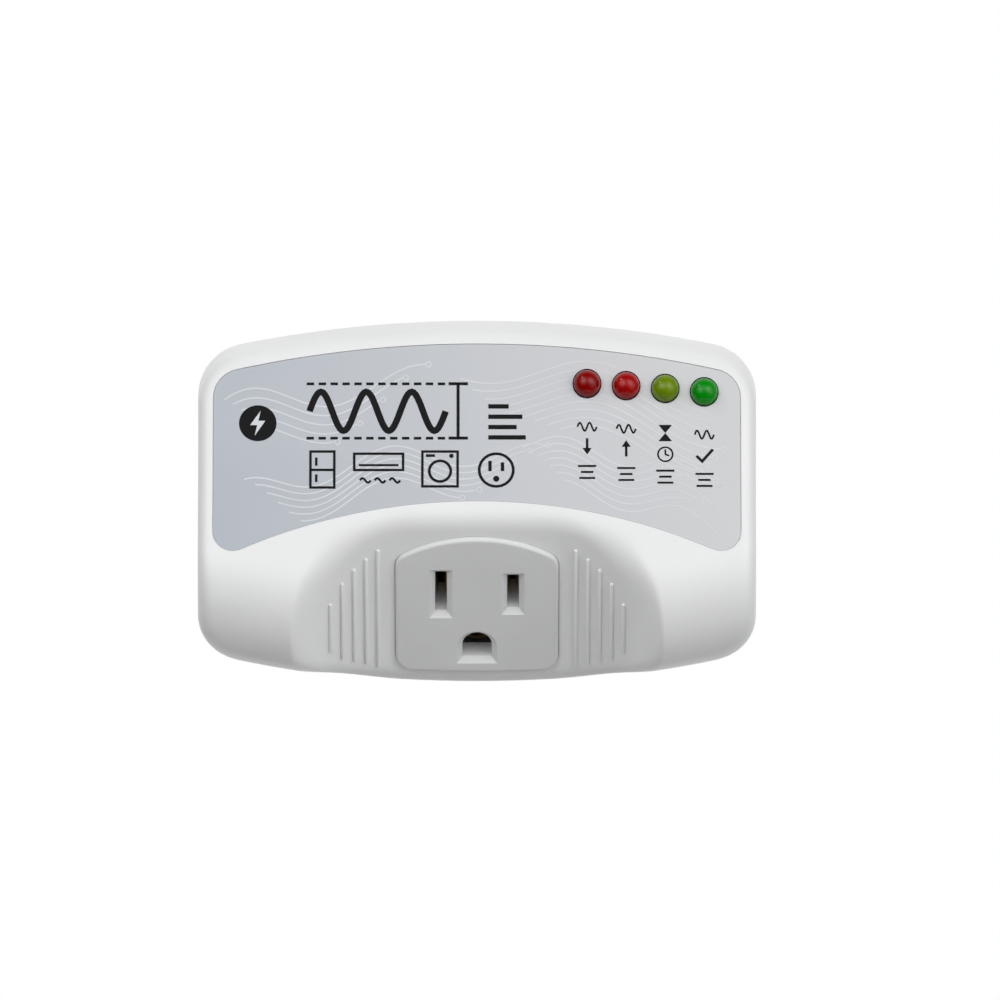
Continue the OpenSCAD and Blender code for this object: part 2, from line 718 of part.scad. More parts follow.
// Plug blades, ground pin and the plate that clamps them to the rear cover
shoulder_w = 8.6;
shoulder_t = 1.2;
blade_tail_w = 4.4;
blade_tail_out = 9;
blade_tip_share = 0.28;
blade_hole_share = 0.72;
carrier_side = 3;
carrier_brow = 0.4;
carrier_apron = 2.2;
carrier_w = 2*(carrier_screw_x + carrier_side);
carrier_head = slot_up + shoulder_w/2 + carrier_brow;
pin_flange_r = 3.8;
carrier_foot = pin_flange_r + carrier_apron;
pin_collar_r = pin_r + loose;
pin_tail_r = 1.7;
strap_gap = 0.3;
strap_out = wall_t + carrier_t + strap_gap;
strap_t = 0.8;
strap_w = 5.6;
strap_end_share = 0.17;
rivet_rise = 0.6;
pin_tail_out = strap_out + strap_t + rivet_rise;
module blade_shape() {
    tip = blade_w*blade_tip_share;
    color("gold") rotate([0, -90, 0]) linear_extrude(blade_t, center = true) difference() {
        polygon([
            [-blade_l, -blade_w/2 + tip], [tip - blade_l, -blade_w/2], [wall_t, -blade_w/2],
            [wall_t, -shoulder_w/2], [wall_t + shoulder_t, -shoulder_w/2],
            [wall_t + shoulder_t, -blade_tail_w/2], [blade_tail_out, -blade_tail_w/2],
            [blade_tail_out, blade_tail_w/2], [wall_t + shoulder_t, blade_tail_w/2],
            [wall_t + shoulder_t, shoulder_w/2], [wall_t, shoulder_w/2],
            [wall_t, blade_w/2], [tip - blade_l, blade_w/2], [-blade_l, blade_w/2 - tip]
        ]);
        translate([-blade_l*blade_hole_share, 0]) circle(r = blade_hole_r);
    }
}
module neutral_blade() {
    wall_frame() translate([-slot_gap/2, slot_up, 0]) blade_shape();
}
module line_blade() {
    wall_frame() translate([slot_gap/2, slot_up, 0]) blade_shape();
}
module ground_pin() {
    color("gold") wall_frame() rotate_extrude() polygon(concat(
        arc([0, pin_r - pin_l], pin_r, -90, 0, 8),
        [[pin_r, 0], [pin_collar_r, 0], [pin_collar_r, wall_t],
            [pin_flange_r, wall_t], [pin_flange_r, wall_t + shoulder_t],
            [pin_tail_r, wall_t + shoulder_t], [pin_tail_r, pin_tail_out], [0, pin_tail_out]]
    ));
}
module blade_carrier() {
    color("dimgray") wall_frame() difference() {
        translate([-carrier_w/2, -carrier_foot, wall_t])
            cube([carrier_w, carrier_foot + carrier_head, carrier_t]);
        for (side = [-1, 1]) {
            translate([side*slot_gap/2, slot_up, wall_t + shoulder_t/2])
                cube([blade_t + snug, shoulder_w + snug, shoulder_t + snug], center = true);
            translate([side*slot_gap/2, slot_up, wall_t + carrier_t/2])
                cube([blade_t + snug, blade_tail_w + snug, carrier_t + 2*overrun], center = true);
            translate([side*carrier_screw_x, carrier_screw_up, wall_t - overrun])
                cylinder(r = carrier_screw_r + snug, h = carrier_t + 2*overrun);
        }
        translate([0, 0, wall_t - overrun])
            cylinder(r = pin_flange_r + snug, h = shoulder_t + overrun + snug/2);
        translate([0, 0, wall_t - overrun])
            cylinder(r = pin_tail_r + snug, h = carrier_t + 2*overrun);
    }
}
module ground_strap() {
    tail_y = ground_up - sleeve_r - sleeve_t/2;
    tail_up = face_up + tail_y/cos(socket_tilt) + (face_out - strap_out - strap_t/2)*tan(socket_tilt);
    foot_up = tail_up - strap_w*strap_end_share;
    color("goldenrod") wall_frame() difference() {
        translate([-strap_w/2, foot_up, strap_out])
            cube([strap_w, strap_w/2 - foot_up, strap_t]);
        translate([0, 0, strap_out - overrun])
            cylinder(r = pin_tail_r + snug/2, h = strap_t + 2*overrun);
        socket_frame_in_wall() translate([0, tail_y, base_back - tail_l])
            cube([tail_w + snug, sleeve_t + loose, 4*tail_l], center = true);
    }
}
module socket_frame_in_wall() {
    translate([0, face_up, face_out]) rotate([socket_tilt, 0, 0]) children();
}

// Circuit board: follows the housing, open behind the socket and round the bosses
board_gap = 0.85;
board_inset = wall_t + shadow_gap + lip_t + board_gap;
notch_side = 2;
notch_w = 2*(socket_post_x + notch_side);
notch_up = slot_up + blade_tail_w/2 + snug;
board_front = board_out + board_t;
board_hole_gap = 0.4;
relay_side = 1.5;
relay_foot = bottom_up + screw_inset_foot + boss_r + 4*snug;
relay_x = -half_w + wall_t + draft + relay_side + relay_w/2;
relay_up = relay_foot + relay_l/2;
module board_frame() {
    wall_frame() translate([0, 0, board_front]) children();
}
module relay_frame() {
    board_frame() translate([relay_x, relay_up, 0]) children();
}
module circuit_board() {
    color("seagreen") wall_frame() difference() {
        translate([0, 0, board_out]) linear_extrude(board_t)
            polygon(housing_outline(board_inset, 6));
        translate([-notch_w/2, -housing_h, board_out - overrun])
            cube([notch_w, housing_h + notch_up, board_t + 2*overrun]);
        for (place = housing_screw_places) translate([place[0], place[1], board_out - overrun])
            cylinder(r = boss_r + board_hole_gap, h = board_t + 2*overrun);
        for (place = board_posts) translate([place[0], place[1], board_out - overrun])
            cylinder(r = board_screw_r + snug, h = board_t + 2*overrun);
        for (place = relay_pin_places)
            translate([relay_x + place[0], relay_up + place[1], board_out - overrun])
                cylinder(r = relay_pin_r + snug, h = board_t + 2*overrun);
    }
}

// Relay, in a frame at its middle on the board: X to the right, Y up, Z out
relay_wall = 1;
relay_base_t = 2.2;
yoke_t = 1.6;
yoke_w = 12;
yoke_gap = 1;
swing_room = 4.3;
core_r = 3;
pole_r = 4.6;
pole_t = 1.2;
bobbin_r = 6.4;
bobbin_flange_t = 0.8;
bobbin_tube_t = 0.8;
bobbin_gap = 0.4;
coil_r = 5.9;
armature_t = 1.4;
armature_gap = 0.1;
leaf_t = 0.4;
leaf_w = 7;
contact_r = 2;
contact_disc_t = 1;
contact_edge = 1.2;
relay_pin_r = 0.6;
relay_pin_l = 3;
relay_pin_edge = 1.5;
yoke_top = relay_h - relay_wall - swing_room;
yoke_foot = relay_wall + yoke_gap - relay_l/2;
core_up = yoke_foot + yoke_t + bobbin_gap + bobbin_r;
contact_up = relay_l/2 - relay_wall - contact_edge - contact_r - 2*leaf_t;
relay_pin_x = relay_w/2 - relay_wall - relay_pin_edge;
relay_pin_up = relay_l/2 - relay_wall - relay_pin_edge;
relay_pin_places = [
    [-relay_pin_x, -relay_pin_up], [relay_pin_x, -relay_pin_up], [-relay_pin_x, 0],
    [-contact_r, relay_pin_up], [contact_r, relay_pin_up]
];
module relay_base() {
    color("black") relay_frame() difference() {
        linear_extrude(relay_base_t)
            square([relay_w - 2*relay_wall - snug, relay_l - 2*relay_wall - snug], center = true);
        for (place = relay_pin_places)
            translate([place[0], place[1], -overrun])
                cylinder(r = relay_pin_r + snug/2, h = relay_base_t + 2*overrun);
    }
}
module relay_cover() {
    color("black") relay_frame() difference() {
        linear_extrude(relay_h) square([relay_w, relay_l], center = true);
        translate([0, 0, -overrun]) linear_extrude(relay_h - relay_wall + overrun)
            square([relay_w - 2*relay_wall, relay_l - 2*relay_wall], center = true);
    }
}
module relay_pins() {
    color("silver") relay_frame() for (place = relay_pin_places)
        translate([place[0], place[1], -relay_pin_l])
            cylinder(r = relay_pin_r, h = relay_pin_l + relay_base_t);
}
module relay_yoke() {
    color("silver") relay_frame() difference() {
        union() {
            translate([-yoke_w/2, yoke_foot, relay_base_t])
                cube([yoke_w, core_up + core_r + yoke_t - yoke_foot, yoke_t]);
            translate([-yoke_w/2, yoke_foot, relay_base_t])
                cube([yoke_w, yoke_t, yoke_top - relay_base_t]);
        }
        translate([0, core_up, 0]) cylinder(r = core_r, h = yoke_top);
    }
}
module relay_core() {
    color("silver") relay_frame() translate([0, core_up, relay_base_t]) {
        cylinder(r = core_r, h = yoke_top - relay_base_t);
        translate([0, 0, yoke_top - relay_base_t - pole_t]) cylinder(r = pole_r, h = pole_t);
    }
}
module relay_bobbin() {
    low = relay_base_t + yoke_t;
    high = yoke_top - pole_t;
    color("white") relay_frame() translate([0, core_up, 0]) difference() {
        union() {
            translate([0, 0, low]) cylinder(r = bobbin_r, h = bobbin_flange_t);
            translate([0, 0, high - bobbin_flange_t]) cylinder(r = bobbin_r, h = bobbin_flange_t);
            translate([0, 0, low]) cylinder(r = core_r + bobbin_tube_t, h = high - low);
        }
        translate([0, 0, low - overrun]) cylinder(r = core_r, h = high - low + 2*overrun);
    }
}
module relay_coil() {
    low = relay_base_t + yoke_t + bobbin_flange_t;
    high = yoke_top - pole_t - bobbin_flange_t;
    color("brown") relay_frame() translate([0, core_up, low]) difference() {
        cylinder(r = coil_r, h = high - low);
        translate([0, 0, -overrun])
            cylinder(r = core_r + bobbin_tube_t, h = high - low + 2*overrun);
    }
}
// The released armature leans on the yoke's edge, turned away from the pole
hinge_out = yoke_top + armature_gap;
module released() {
    relay_frame() translate([0, yoke_foot, hinge_out]) rotate([armature_swing, 0, 0]) children();
}
module relay_armature() {
    color("silver") released() translate([-yoke_w/2, 0, 0])
        cube([yoke_w, core_up + pole_r + yoke_t/2 - yoke_foot, armature_t]);
}
module relay_contact_leaf() {
    reach = contact_up - yoke_foot;
    color("goldenrod") released() {
        translate([-leaf_w/2, yoke_t, armature_t])
            cube([leaf_w, reach + contact_r - yoke_t, leaf_t]);
        translate([0, reach, armature_t - contact_disc_t]) cylinder(r = contact_r, h = contact_disc_t);
    }
}
module relay_hinge_leaf() {
    color("goldenrod") relay_frame() translate([-leaf_w/2, yoke_foot - leaf_t, relay_base_t])
        cube([leaf_w, leaf_t, yoke_top - relay_base_t - loose]);
}
module relay_fixed_contact() {
    shelf_out = hinge_out + armature_t - contact_disc_t - armature_gap - contact_disc_t - leaf_t;
    leg_up = contact_up + contact_r + leaf_t;
    color("goldenrod") relay_frame() {
        translate([-leaf_w/2, contact_up - contact_r, shelf_out - leaf_t])
            cube([leaf_w, 2*contact_r + 2*leaf_t, 2*leaf_t]);
        translate([-leaf_w/2, leg_up - leaf_t, relay_base_t])
            cube([leaf_w, 2*leaf_t, shelf_out - relay_base_t]);
        translate([0, contact_up, shelf_out]) cylinder(r = contact_r, h = contact_disc_t + leaf_t);
    }
}

// Lamps on their spacers
lamp_flange_r = 2.9;
lamp_flange_t = 1;
lead_w = 0.5;
lead_gap = 2.54;
module lamp(i, shade) {
    color(shade) wall_frame() translate([lamp_x(i), lamp_up(i), lamp_base_out(i)]) {
        rotate_extrude() polygon(concat(
            [[0, 0], [lamp_flange_r, 0], [lamp_flange_r, lamp_flange_t], [lamp_r, lamp_flange_t]],
            arc([0, lamp_l - lamp_r], lamp_r, 0, 90, 8)
        ));
        for (side = [-1, 1])
            translate([side*lead_gap/2 - lead_w/2, -lead_w/2, board_front - lamp_base_out(i)])
                cube([lead_w, lead_w, lamp_base_out(i) - board_front + lamp_flange_t/2]);
    }
}
module lamp_low_voltage() { lamp(0, "darkred"); }
module lamp_high_voltage() { lamp(1, "red"); }
module lamp_wait() { lamp(2, "yellowgreen"); }
module lamp_normal() { lamp(3, "limegreen"); }
module lamp_spacers() {
    color("black") for (i = [0 : 3])
        wall_frame() translate([lamp_x(i), lamp_up(i), board_front]) difference() {
            cylinder(r = lamp_flange_r, h = lamp_base_out(i) - board_front);
            for (side = [-1, 1])
                translate([side*lead_gap/2, 0, -overrun])
                    cylinder(r = lead_w, h = housing_h);
        }
}

// Parts on the circuit board, each placed by its middle as [x, up]
part_gap = 1.2;
right_x = half_w - board_inset - part_gap;
film_size = [13, 6, 11];
film_place = [right_x - film_size[0]/2, notch_up + part_gap];
chip_size = [9.4, 6.4, 3.3];
chip_lead_t = 0.4;
chip_place = [film_place[0], film_place[1] - (film_size[1] + chip_size[1])/2 - 2*part_gap];
varistor_r = 5;
varistor_t = 4;
varistor_place = [right_x - varistor_r - part_gap,
    bottom_up + screw_inset_foot + boss_r + varistor_t/2 + snug];
can_r = 4;
can_l = 12;
can_place = [notch_w/2 + can_r + 3*part_gap, 0];
diode_r = 1.1;
diode_l = 4.2;
diode_pitch = 2.5;
diode_place = [notch_w/2 + part_gap + diode_l/2, -can_r - part_gap - diode_r];
resistor_r = 1.15;
resistor_l = 6.4;
resistor_pitch = 3.2;
resistor_place = [relay_x + relay_w/2 + 2*part_gap, notch_up + part_gap + resistor_l/2];
transistor_r = 2.3;
transistor_h = 4.6;
transistor_foot_share = 0.6;
transistor_flat_share = 0.55;
transistor_place = [relay_x + relay_w/2, relay_foot - part_gap - transistor_r];
can_neck_shares = [0.1, 0.13, 0.16, 0.97];
can_waist_share = 0.93;
chip_foot_share = 0.2;
lead_r = 0.35;
module upright_leads(places, rise) {
    for (place = places)
        translate([place, 0, 0]) cylinder(r = lead_r, h = rise);
}
module varistor() {
    color("royalblue") board_frame() translate([varistor_place[0], varistor_place[1], 0]) {
        translate([0, varistor_t/2, varistor_r + varistor_t/2])
            rotate([90, 0, 0]) cylinder(r = varistor_r, h = varistor_t);
        upright_leads([-varistor_r/2, varistor_r/2], varistor_r);
    }
}
module film_capacitor() {
    color("goldenrod") board_frame() translate([film_place[0], film_place[1], 0])
        translate([-film_size[0]/2, -film_size[1]/2, 0]) cube(film_size);
}
module smoothing_capacitor() {
    color("midnightblue") board_frame() translate([can_place[0], can_place[1], 0])
        rotate_extrude() polygon([
            [0, 0], [can_r, 0], [can_r, can_l*can_neck_shares[0]],
            [can_r*can_waist_share, can_l*can_neck_shares[1]], [can_r, can_l*can_neck_shares[2]],
            [can_r, can_l*can_neck_shares[3]], [can_r*can_waist_share, can_l], [0, can_l]
        ]);
}
module rectifier_diodes() {
    color("dimgray") board_frame() for (i = [0 : 3])
        translate([diode_place[0], diode_place[1] - i*diode_pitch, diode_r])
            rotate([0, 90, 0]) cylinder(r = diode_r, h = diode_l, center = true);
}
module control_chip() {
    color("black") board_frame() translate([chip_place[0], chip_place[1], 0]) {
        translate([-chip_size[0]/2, -chip_size[1]/2, chip_size[2]*chip_foot_share])
            cube([chip_size[0], chip_size[1], chip_size[2]*(1 - chip_foot_share)]);
        for (side = [-1, 1], i = [-1.5 : 1 : 1.5])
            translate([i*lead_gap, side*(chip_size[1] + chip_lead_t)/2, chip_size[2]/4])
                cube([chip_lead_t, chip_lead_t, chip_size[2]/2], center = true);
    }
}
module resistors() {
    color("tan") board_frame() for (i = [0 : 2])
        translate([resistor_place[0] + i*resistor_pitch, resistor_place[1], resistor_r])
            rotate([90, 0, 0]) cylinder(r = resistor_r, h = resistor_l, center = true);
}
module driver_transistor() {
    foot = transistor_h*transistor_foot_share;
    color("black") board_frame() translate([transistor_place[0], transistor_place[1], foot]) {
        difference() {
            cylinder(r = transistor_r, h = transistor_h);
            translate([-2*transistor_r, transistor_r*transistor_flat_share, -overrun])
                cube([4*transistor_r, 4*transistor_r, transistor_h + 2*overrun]);
        }
        for (i = [-1 : 1])
            translate([i*lead_gap/2, 0, -foot]) cylinder(r = lead_r, h = transistor_h);
    }
}

// Inner wires: a round tube along a cubic curve that leaves both ends at a given pull,
// with rings square to the curve
wire_r = 0.9;
wire_sides = 8;
wire_steps = 16;
function unit(v) = v/norm(v);
function ring_at(point, along) =
    let (across = unit(cross(along, [1, 0.3, 0.2])), other = cross(along, across))
    [for (i = [0 : wire_sides - 1])
        let (a = 360*i/wire_sides) point + wire_r*(cos(a)*across + sin(a)*other)];
function bow(a, pull_a, b, pull_b, t) =
    (2*t^3 - 3*t^2 + 1)*a + (t^3 - 2*t^2 + t)*pull_a
    + (3*t^2 - 2*t^3)*b + (t^3 - t^2)*pull_b;
function heading(a, pull_a, b, pull_b, t) =
    unit((6*t^2 - 6*t)*(a - b) + (3*t^2 - 4*t + 1)*pull_a + (3*t^2 - 2*t)*pull_b);
module wire(a, pull_a, b, pull_b) {
    wall_frame() skin([
        for (i = [0 : wire_steps])
            let (t = i/wire_steps)
            ring_at(bow(a, pull_a, b, pull_b, t), heading(a, pull_a, b, pull_b, t))
    ]);
}
// A direction or a point in the wall frame from one in the socket frame
function turned(p) = [
    p[0],
    p[1]*cos(socket_tilt) - p[2]*sin(socket_tilt),
    p[1]*sin(socket_tilt) + p[2]*cos(socket_tilt)
];
function from_socket(p) = [0, face_up, face_out] + turned(p);
tail_tip = contact_front - contact_l - tail_l;
wire_pull = 9;
load_pull = 16;
pad_side = 2;
line_pad_up = 2.6;
load_pad_drop = 7;
module line_wire() {
    color("crimson") wire(
        [slot_gap/2, slot_up, blade_tail_out + snug], [0, 0, wire_pull],
        [notch_w/2 - pad_side/2, notch_up + line_pad_up, board_front + snug], [0, 0, -wire_pull]
    );
}
module neutral_wire() {
    color("gainsboro") wire(
        [-slot_gap/2, slot_up, blade_tail_out + snug], [0, 0, wire_pull],
        from_socket([-slot_gap/2, slot_rise, tail_tip - snug]), turned([0, 0, wire_pull])
    );
}
module load_wire() {
    color("firebrick") wire(
        [-notch_w/2 - pad_side, notch_up - load_pad_drop, board_out - snug], [0, 0, -load_pull],
        from_socket([slot_gap/2, slot_rise, tail_tip - snug]), turned([0, 0, load_pull])
    );
}

// Fasteners: each screw runs outwards from its head
module screw(r, head_r, head_t, length) {
    translate([0, 0, -head_t]) cylinder(r = head_r, h = head_t);
    cylinder(r = r, h = length);
}
module housing_screws() {
    color("silver") wall_frame() for (place = housing_screw_places)
        translate([place[0], place[1], screw_seat_out])
            screw(screw_r, screw_head_r, screw_head_t, screw_l);
}
module board_screws() {
    color("silver") wall_frame() for (place = board_posts)
        translate([place[0], place[1], board_front]) mirror([0, 0, 1])
            screw(board_screw_r, board_screw_head_r, board_screw_r, board_screw_l - overrun/2);
}
module socket_screws() {
    color("silver") socket_frame() for (side = [-1, 1])
        translate([side*socket_post_x, socket_post_y, -wall_t - socket_post_l - ear_t])
            screw(socket_screw_r, 2*socket_screw_r, socket_screw_r, socket_post_l);
}
module carrier_screws() {
    color("silver") wall_frame() for (side = [-1, 1])
        translate([side*carrier_screw_x, carrier_screw_up, wall_t + carrier_t]) mirror([0, 0, 1])
            screw(carrier_screw_r, 2*carrier_screw_r, carrier_screw_r, carrier_t + wall_t/2);
}

front_cover();
rear_cover();
label();
receptacle_face();
receptacle_base();
line_contact();
neutral_contact();
ground_contact();
ground_strap();
line_blade();
neutral_blade();
ground_pin();
blade_carrier();
circuit_board();
relay_base();
relay_cover();
relay_bobbin();
relay_coil();
relay_core();
relay_yoke();
relay_armature();
relay_contact_leaf();
relay_hinge_leaf();
relay_fixed_contact();
relay_pins();
lamp_low_voltage();
lamp_high_voltage();
lamp_wait();
lamp_normal();
lamp_spacers();
varistor();
film_capacitor();
smoothing_capacitor();
rectifier_diodes();
control_chip();
resistors();
driver_transistor();
line_wire();
neutral_wire();
load_wire();
housing_screws();
board_screws();
socket_screws();
carrier_screws();
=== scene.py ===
# %% [markdown]
# # A plug-in voltage protector for one appliance
# The real object is a white box that hangs on a wall socket: a tilted label with four
# lamps, a scooped arch with a grounded socket, and blades with a ground pin behind.
# The solid model comes first, as a fixed frame. Every piece made here lies in that frame,
# in metres, with Z up, the wall at y = 0 and the front looking along -Y.

# %% Load the frame
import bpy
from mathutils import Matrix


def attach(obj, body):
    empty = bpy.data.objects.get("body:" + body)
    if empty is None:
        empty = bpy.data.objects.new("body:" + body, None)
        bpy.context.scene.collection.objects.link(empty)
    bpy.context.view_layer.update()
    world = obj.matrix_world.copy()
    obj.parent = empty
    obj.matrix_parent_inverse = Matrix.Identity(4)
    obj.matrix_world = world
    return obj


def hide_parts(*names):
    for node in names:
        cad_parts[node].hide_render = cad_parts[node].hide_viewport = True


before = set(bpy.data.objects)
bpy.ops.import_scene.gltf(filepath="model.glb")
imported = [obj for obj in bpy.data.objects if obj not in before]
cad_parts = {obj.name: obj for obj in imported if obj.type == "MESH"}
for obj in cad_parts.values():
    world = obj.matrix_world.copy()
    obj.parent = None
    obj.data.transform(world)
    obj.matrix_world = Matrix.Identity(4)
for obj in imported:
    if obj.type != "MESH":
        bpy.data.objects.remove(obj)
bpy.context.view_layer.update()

# %% Tools and units
import functools
import math
import bmesh
import bpy
import numpy as np

MM = 0.001
scene = bpy.context.scene

# %% [markdown]
# ## The housing's sizes
# The front is one height field: at each station x and height up it has a distance from
# the wall. These are the same named sizes as in the solid model, in millimetres.

# %% Sizes of the housing
housing_w, housing_h, pin_rise = 99.0, 63.0, 25.6
top_out, label_tilt, parting_out, wall_t = 28.0, math.radians(22), 12.0, 2.2
edge_arc_r, corner_r, edge_r, draft, belly_r = 215.0, 9.5, 2.5, 0.4, 14.5
ridge_drop, socket_tilt, scoop_flat, scoop_r = 32.9, math.radians(32), 11.5, 22.0
ridge_blend, flank_blend, flank_from, flank_to = 2.1, 5.4, 0.36, 0.57
face_w, face_h, face_drop, face_proud, foot_bulge = 28.8, 29.5, 48.3, 1.0, 0.8
slot_rise, slot_gap, ground_drop = 2.75, 12.7, 11.9
bulge_edge, bulge_fall = 0.56, 0.3
half_w = housing_w/2
top_up, bottom_up = housing_h - pin_rise, -pin_rise
ridge_up, face_up = top_up - ridge_drop, top_up - face_drop
corner_x = half_w - corner_r
corner_rise = math.sqrt((edge_arc_r - corner_r)**2 - corner_x**2)
top_centre, bottom_centre = top_up - edge_arc_r, bottom_up + edge_arc_r
corner_top = top_centre + corner_rise
print("top corners' centres at x", corner_x, "up", round(corner_top, 2))

# %% [markdown]
# ## Forms
# A form is an array of points and a list of faces. A grid is a surface of two parameters,
# and a loft carries a closed profile through a row of rings. Faces are numbered in whole
# arrays, so no loop runs over single points.

# %% Grids, lofts and places
def grid_faces(nu, nv, wrap=False):
    """Corner numbers of the cells of an nu by nv grid, from (u, v) by (u+1, v) round.
    A wrapped grid joins its last column v to its first."""
    u, v = np.meshgrid(np.arange(nu - 1), np.arange(nv if wrap else nv - 1), indexing="ij")
    w = (v + 1) % nv
    return np.stack([u*nv + v, (u + 1)*nv + v, (u + 1)*nv + w, u*nv + w], -1).reshape(-1, 4)

class Form:
    """Points in a frame of the object and the faces that join them."""
    def __init__(self, points, faces):
        self.points = np.asarray(points, float).reshape(-1, 3)
        self.faces = [list(f) for f in faces]

    def __add__(self, other):
        shift = len(self.points)
        return Form(np.vstack([self.points, other.points]),
                    self.faces + [[i + shift for i in f] for f in other.faces])

    def at(self, place):
        """The form with its points moved by a function."""
        return Form(place(self.points), self.faces)

def loft(rings):
    """Closed form through rings of equal count, counter-clockwise seen from the last one."""
    rings = np.asarray(rings, float)
    k, n = rings.shape[:2]
    faces = [f[::-1] for f in grid_faces(k, n, wrap=True).tolist()]
    return Form(rings, faces + [list(range(n))[::-1], list(range((k - 1)*n, k*n))])

def lifted(outline, z):
    """A flat outline raised to height z."""
    return np.column_stack([outline, np.full(len(outline), z)])

def prism(outline, low, high):
    """An outline extruded from height low to height high."""
    return loft([lifted(outline, low), lifted(outline, high)])

axis_r = 0.01

def full_turn(steps):
    """Even angles of a whole turn, without the last one."""
    return np.linspace(0, 2*np.pi, steps, endpoint=False)

def turned(profile, steps):
    """Surface of revolution: a profile point (r, z) goes round as (r cos a, r sin a, z).
    Ends at the axis keep the small radius axis_r, so that no face collapses."""
    a = full_turn(steps)
    r, z = np.asarray(profile, float).T
    return loft(np.stack([r[:, None]*np.cos(a), r[:, None]*np.sin(a), z[:, None] + 0*a], -1))

def gather(forms):
    """One form from many."""
    return functools.reduce(Form.__add__, forms)

def wall(p):
    """Places in metres of points (station, height above the pin, distance from the wall)."""
    p = np.asarray(p, float)
    return np.stack([p[..., 0], -p[..., 2], p[..., 1]], -1)*MM

def tilted(p, up, out, angle):
    """Points turned by an angle about X and set at a height and a distance from the wall."""
    c, s = math.cos(angle), math.sin(angle)
    x, y, z = np.moveaxis(np.asarray(p, float), -1, 0)
    return wall(np.stack([x, up + c*y - s*z, out + s*y + c*z], -1))

def label_out(up, inset=0.0):
    """Distance of the label plane from the wall: it leans back by its tilt from the top edge."""
    return top_out + (top_up - up)*math.tan(label_tilt) - inset/math.cos(label_tilt)

face_out = label_out(ridge_up) - (ridge_up - face_up)*math.tan(socket_tilt)

def socket(p):
    """Places on the socket plane, with the origin in the middle of the face."""
    return tilted(p, face_up, face_out, socket_tilt)

def label_plane(p):
    """Places on the label plane, with the origin in the middle of its top edge."""
    return tilted(p, top_up, top_out, -label_tilt)

print("socket plane's middle is", round(face_out, 2), "mm from the wall")

# %% Pieces
weld_gap, sliver = 0.003*MM, 0.001*MM

def piece(name, form, finish=None, body="housing", smooth=True, crease=38):
    """An object with its place in its mesh. Bends of more than crease degrees stay sharp."""
    mesh = bpy.data.meshes.new(name)
    mesh.from_pydata(form.points.tolist(), [], form.faces)
    mesh.update()
    obj = bpy.data.objects.new(name, mesh)
    scene.collection.objects.link(obj)
    if body:
        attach(obj, body)
    shade(obj, smooth, crease)
    if finish:
        mesh.materials.append(finish)
    return obj

def shade(obj, smooth=True, crease=38):
    """Smooth shading between the sharp edges, or flat faces."""
    obj.data.polygons.foreach_set("use_smooth", [smooth]*len(obj.data.polygons))
    if smooth:
        obj.data.set_sharp_from_angle(angle=math.radians(crease))

def carve(obj, form, how="DIFFERENCE"):
    """Cuts a closed form out of a piece, or joins it on, and keeps the result as plain mesh."""
    tool = piece(obj.name + "_tool", form, body=None)
    cut = obj.modifiers.new("carve", "BOOLEAN")
    cut.object, cut.operation, cut.solver = tool, how, "EXACT"
    bpy.context.view_layer.update()
    graph = bpy.context.evaluated_depsgraph_get()
    made = bpy.data.meshes.new_from_object(obj.evaluated_get(graph))
    obj.modifiers.clear()
    cleaner = bmesh.new()
    cleaner.from_mesh(made)
    bmesh.ops.remove_doubles(cleaner, verts=cleaner.verts, dist=weld_gap)
    bmesh.ops.dissolve_degenerate(cleaner, edges=cleaner.edges, dist=sliver)
    cleaner.to_mesh(made)
    cleaner.free()
    old, obj.data = obj.data, made
    name = old.name
    bpy.data.meshes.remove(old)
    bpy.data.meshes.remove(tool.data)
    made.name = name
    shade(obj)

def measure(obj):
    """Prints a piece's number of faces and its box in millimetres."""
    p = np.array([c[:] for c in obj.bound_box])/MM
    print(obj.name, len(obj.data.polygons), "faces, box", p.min(0).round(1), p.max(0).round(1))

# %% [markdown]
# ## The camera
# The photograph looks at the middle of the box from 5.5 degrees above it, almost without
# perspective: the label, well in front, is no wider against the outline than it measures.
# So a very long lens stands three metres back. The frame's middle lies 4 mm to the right
# of the box's middle.

# %% Camera
elevation, distance, target = math.radians(5.5), 3.0, (0.00406, -0.02, 0.00625)
camera = bpy.data.objects.new("camera", bpy.data.cameras.new("camera"))
camera.data.sensor_width, camera.data.lens = 36, 610
camera.data.clip_start, camera.data.clip_end = 0.05, 50
camera.location = (target[0], target[1] - distance*math.cos(elevation),
                   target[2] + distance*math.sin(elevation))
camera.rotation_euler = (math.radians(90) - elevation, 0, 0)
scene.collection.objects.link(camera)
scene.camera = camera
print("camera at", [round(v, 4) for v in camera.location])

# %% [markdown]
# ## The studio
# The photograph is a cut-out on white. A pale floor lies well below, out of the view, and
# the sky has soft bright patches above in front, to the left and to the right, a weaker
# one low on the right, and a glow from behind that lights the top wall. Two weak lamps
# add the small highlights on the lamps and the fold.

# %% Shader sockets as numbers
def sign(operation, swapped=False):
    """The method for one sign of a formula: it adds the Math node of that operation."""
    return lambda a, b=None: a.maths(operation, b, a) if swapped else a.maths(operation, a, b)

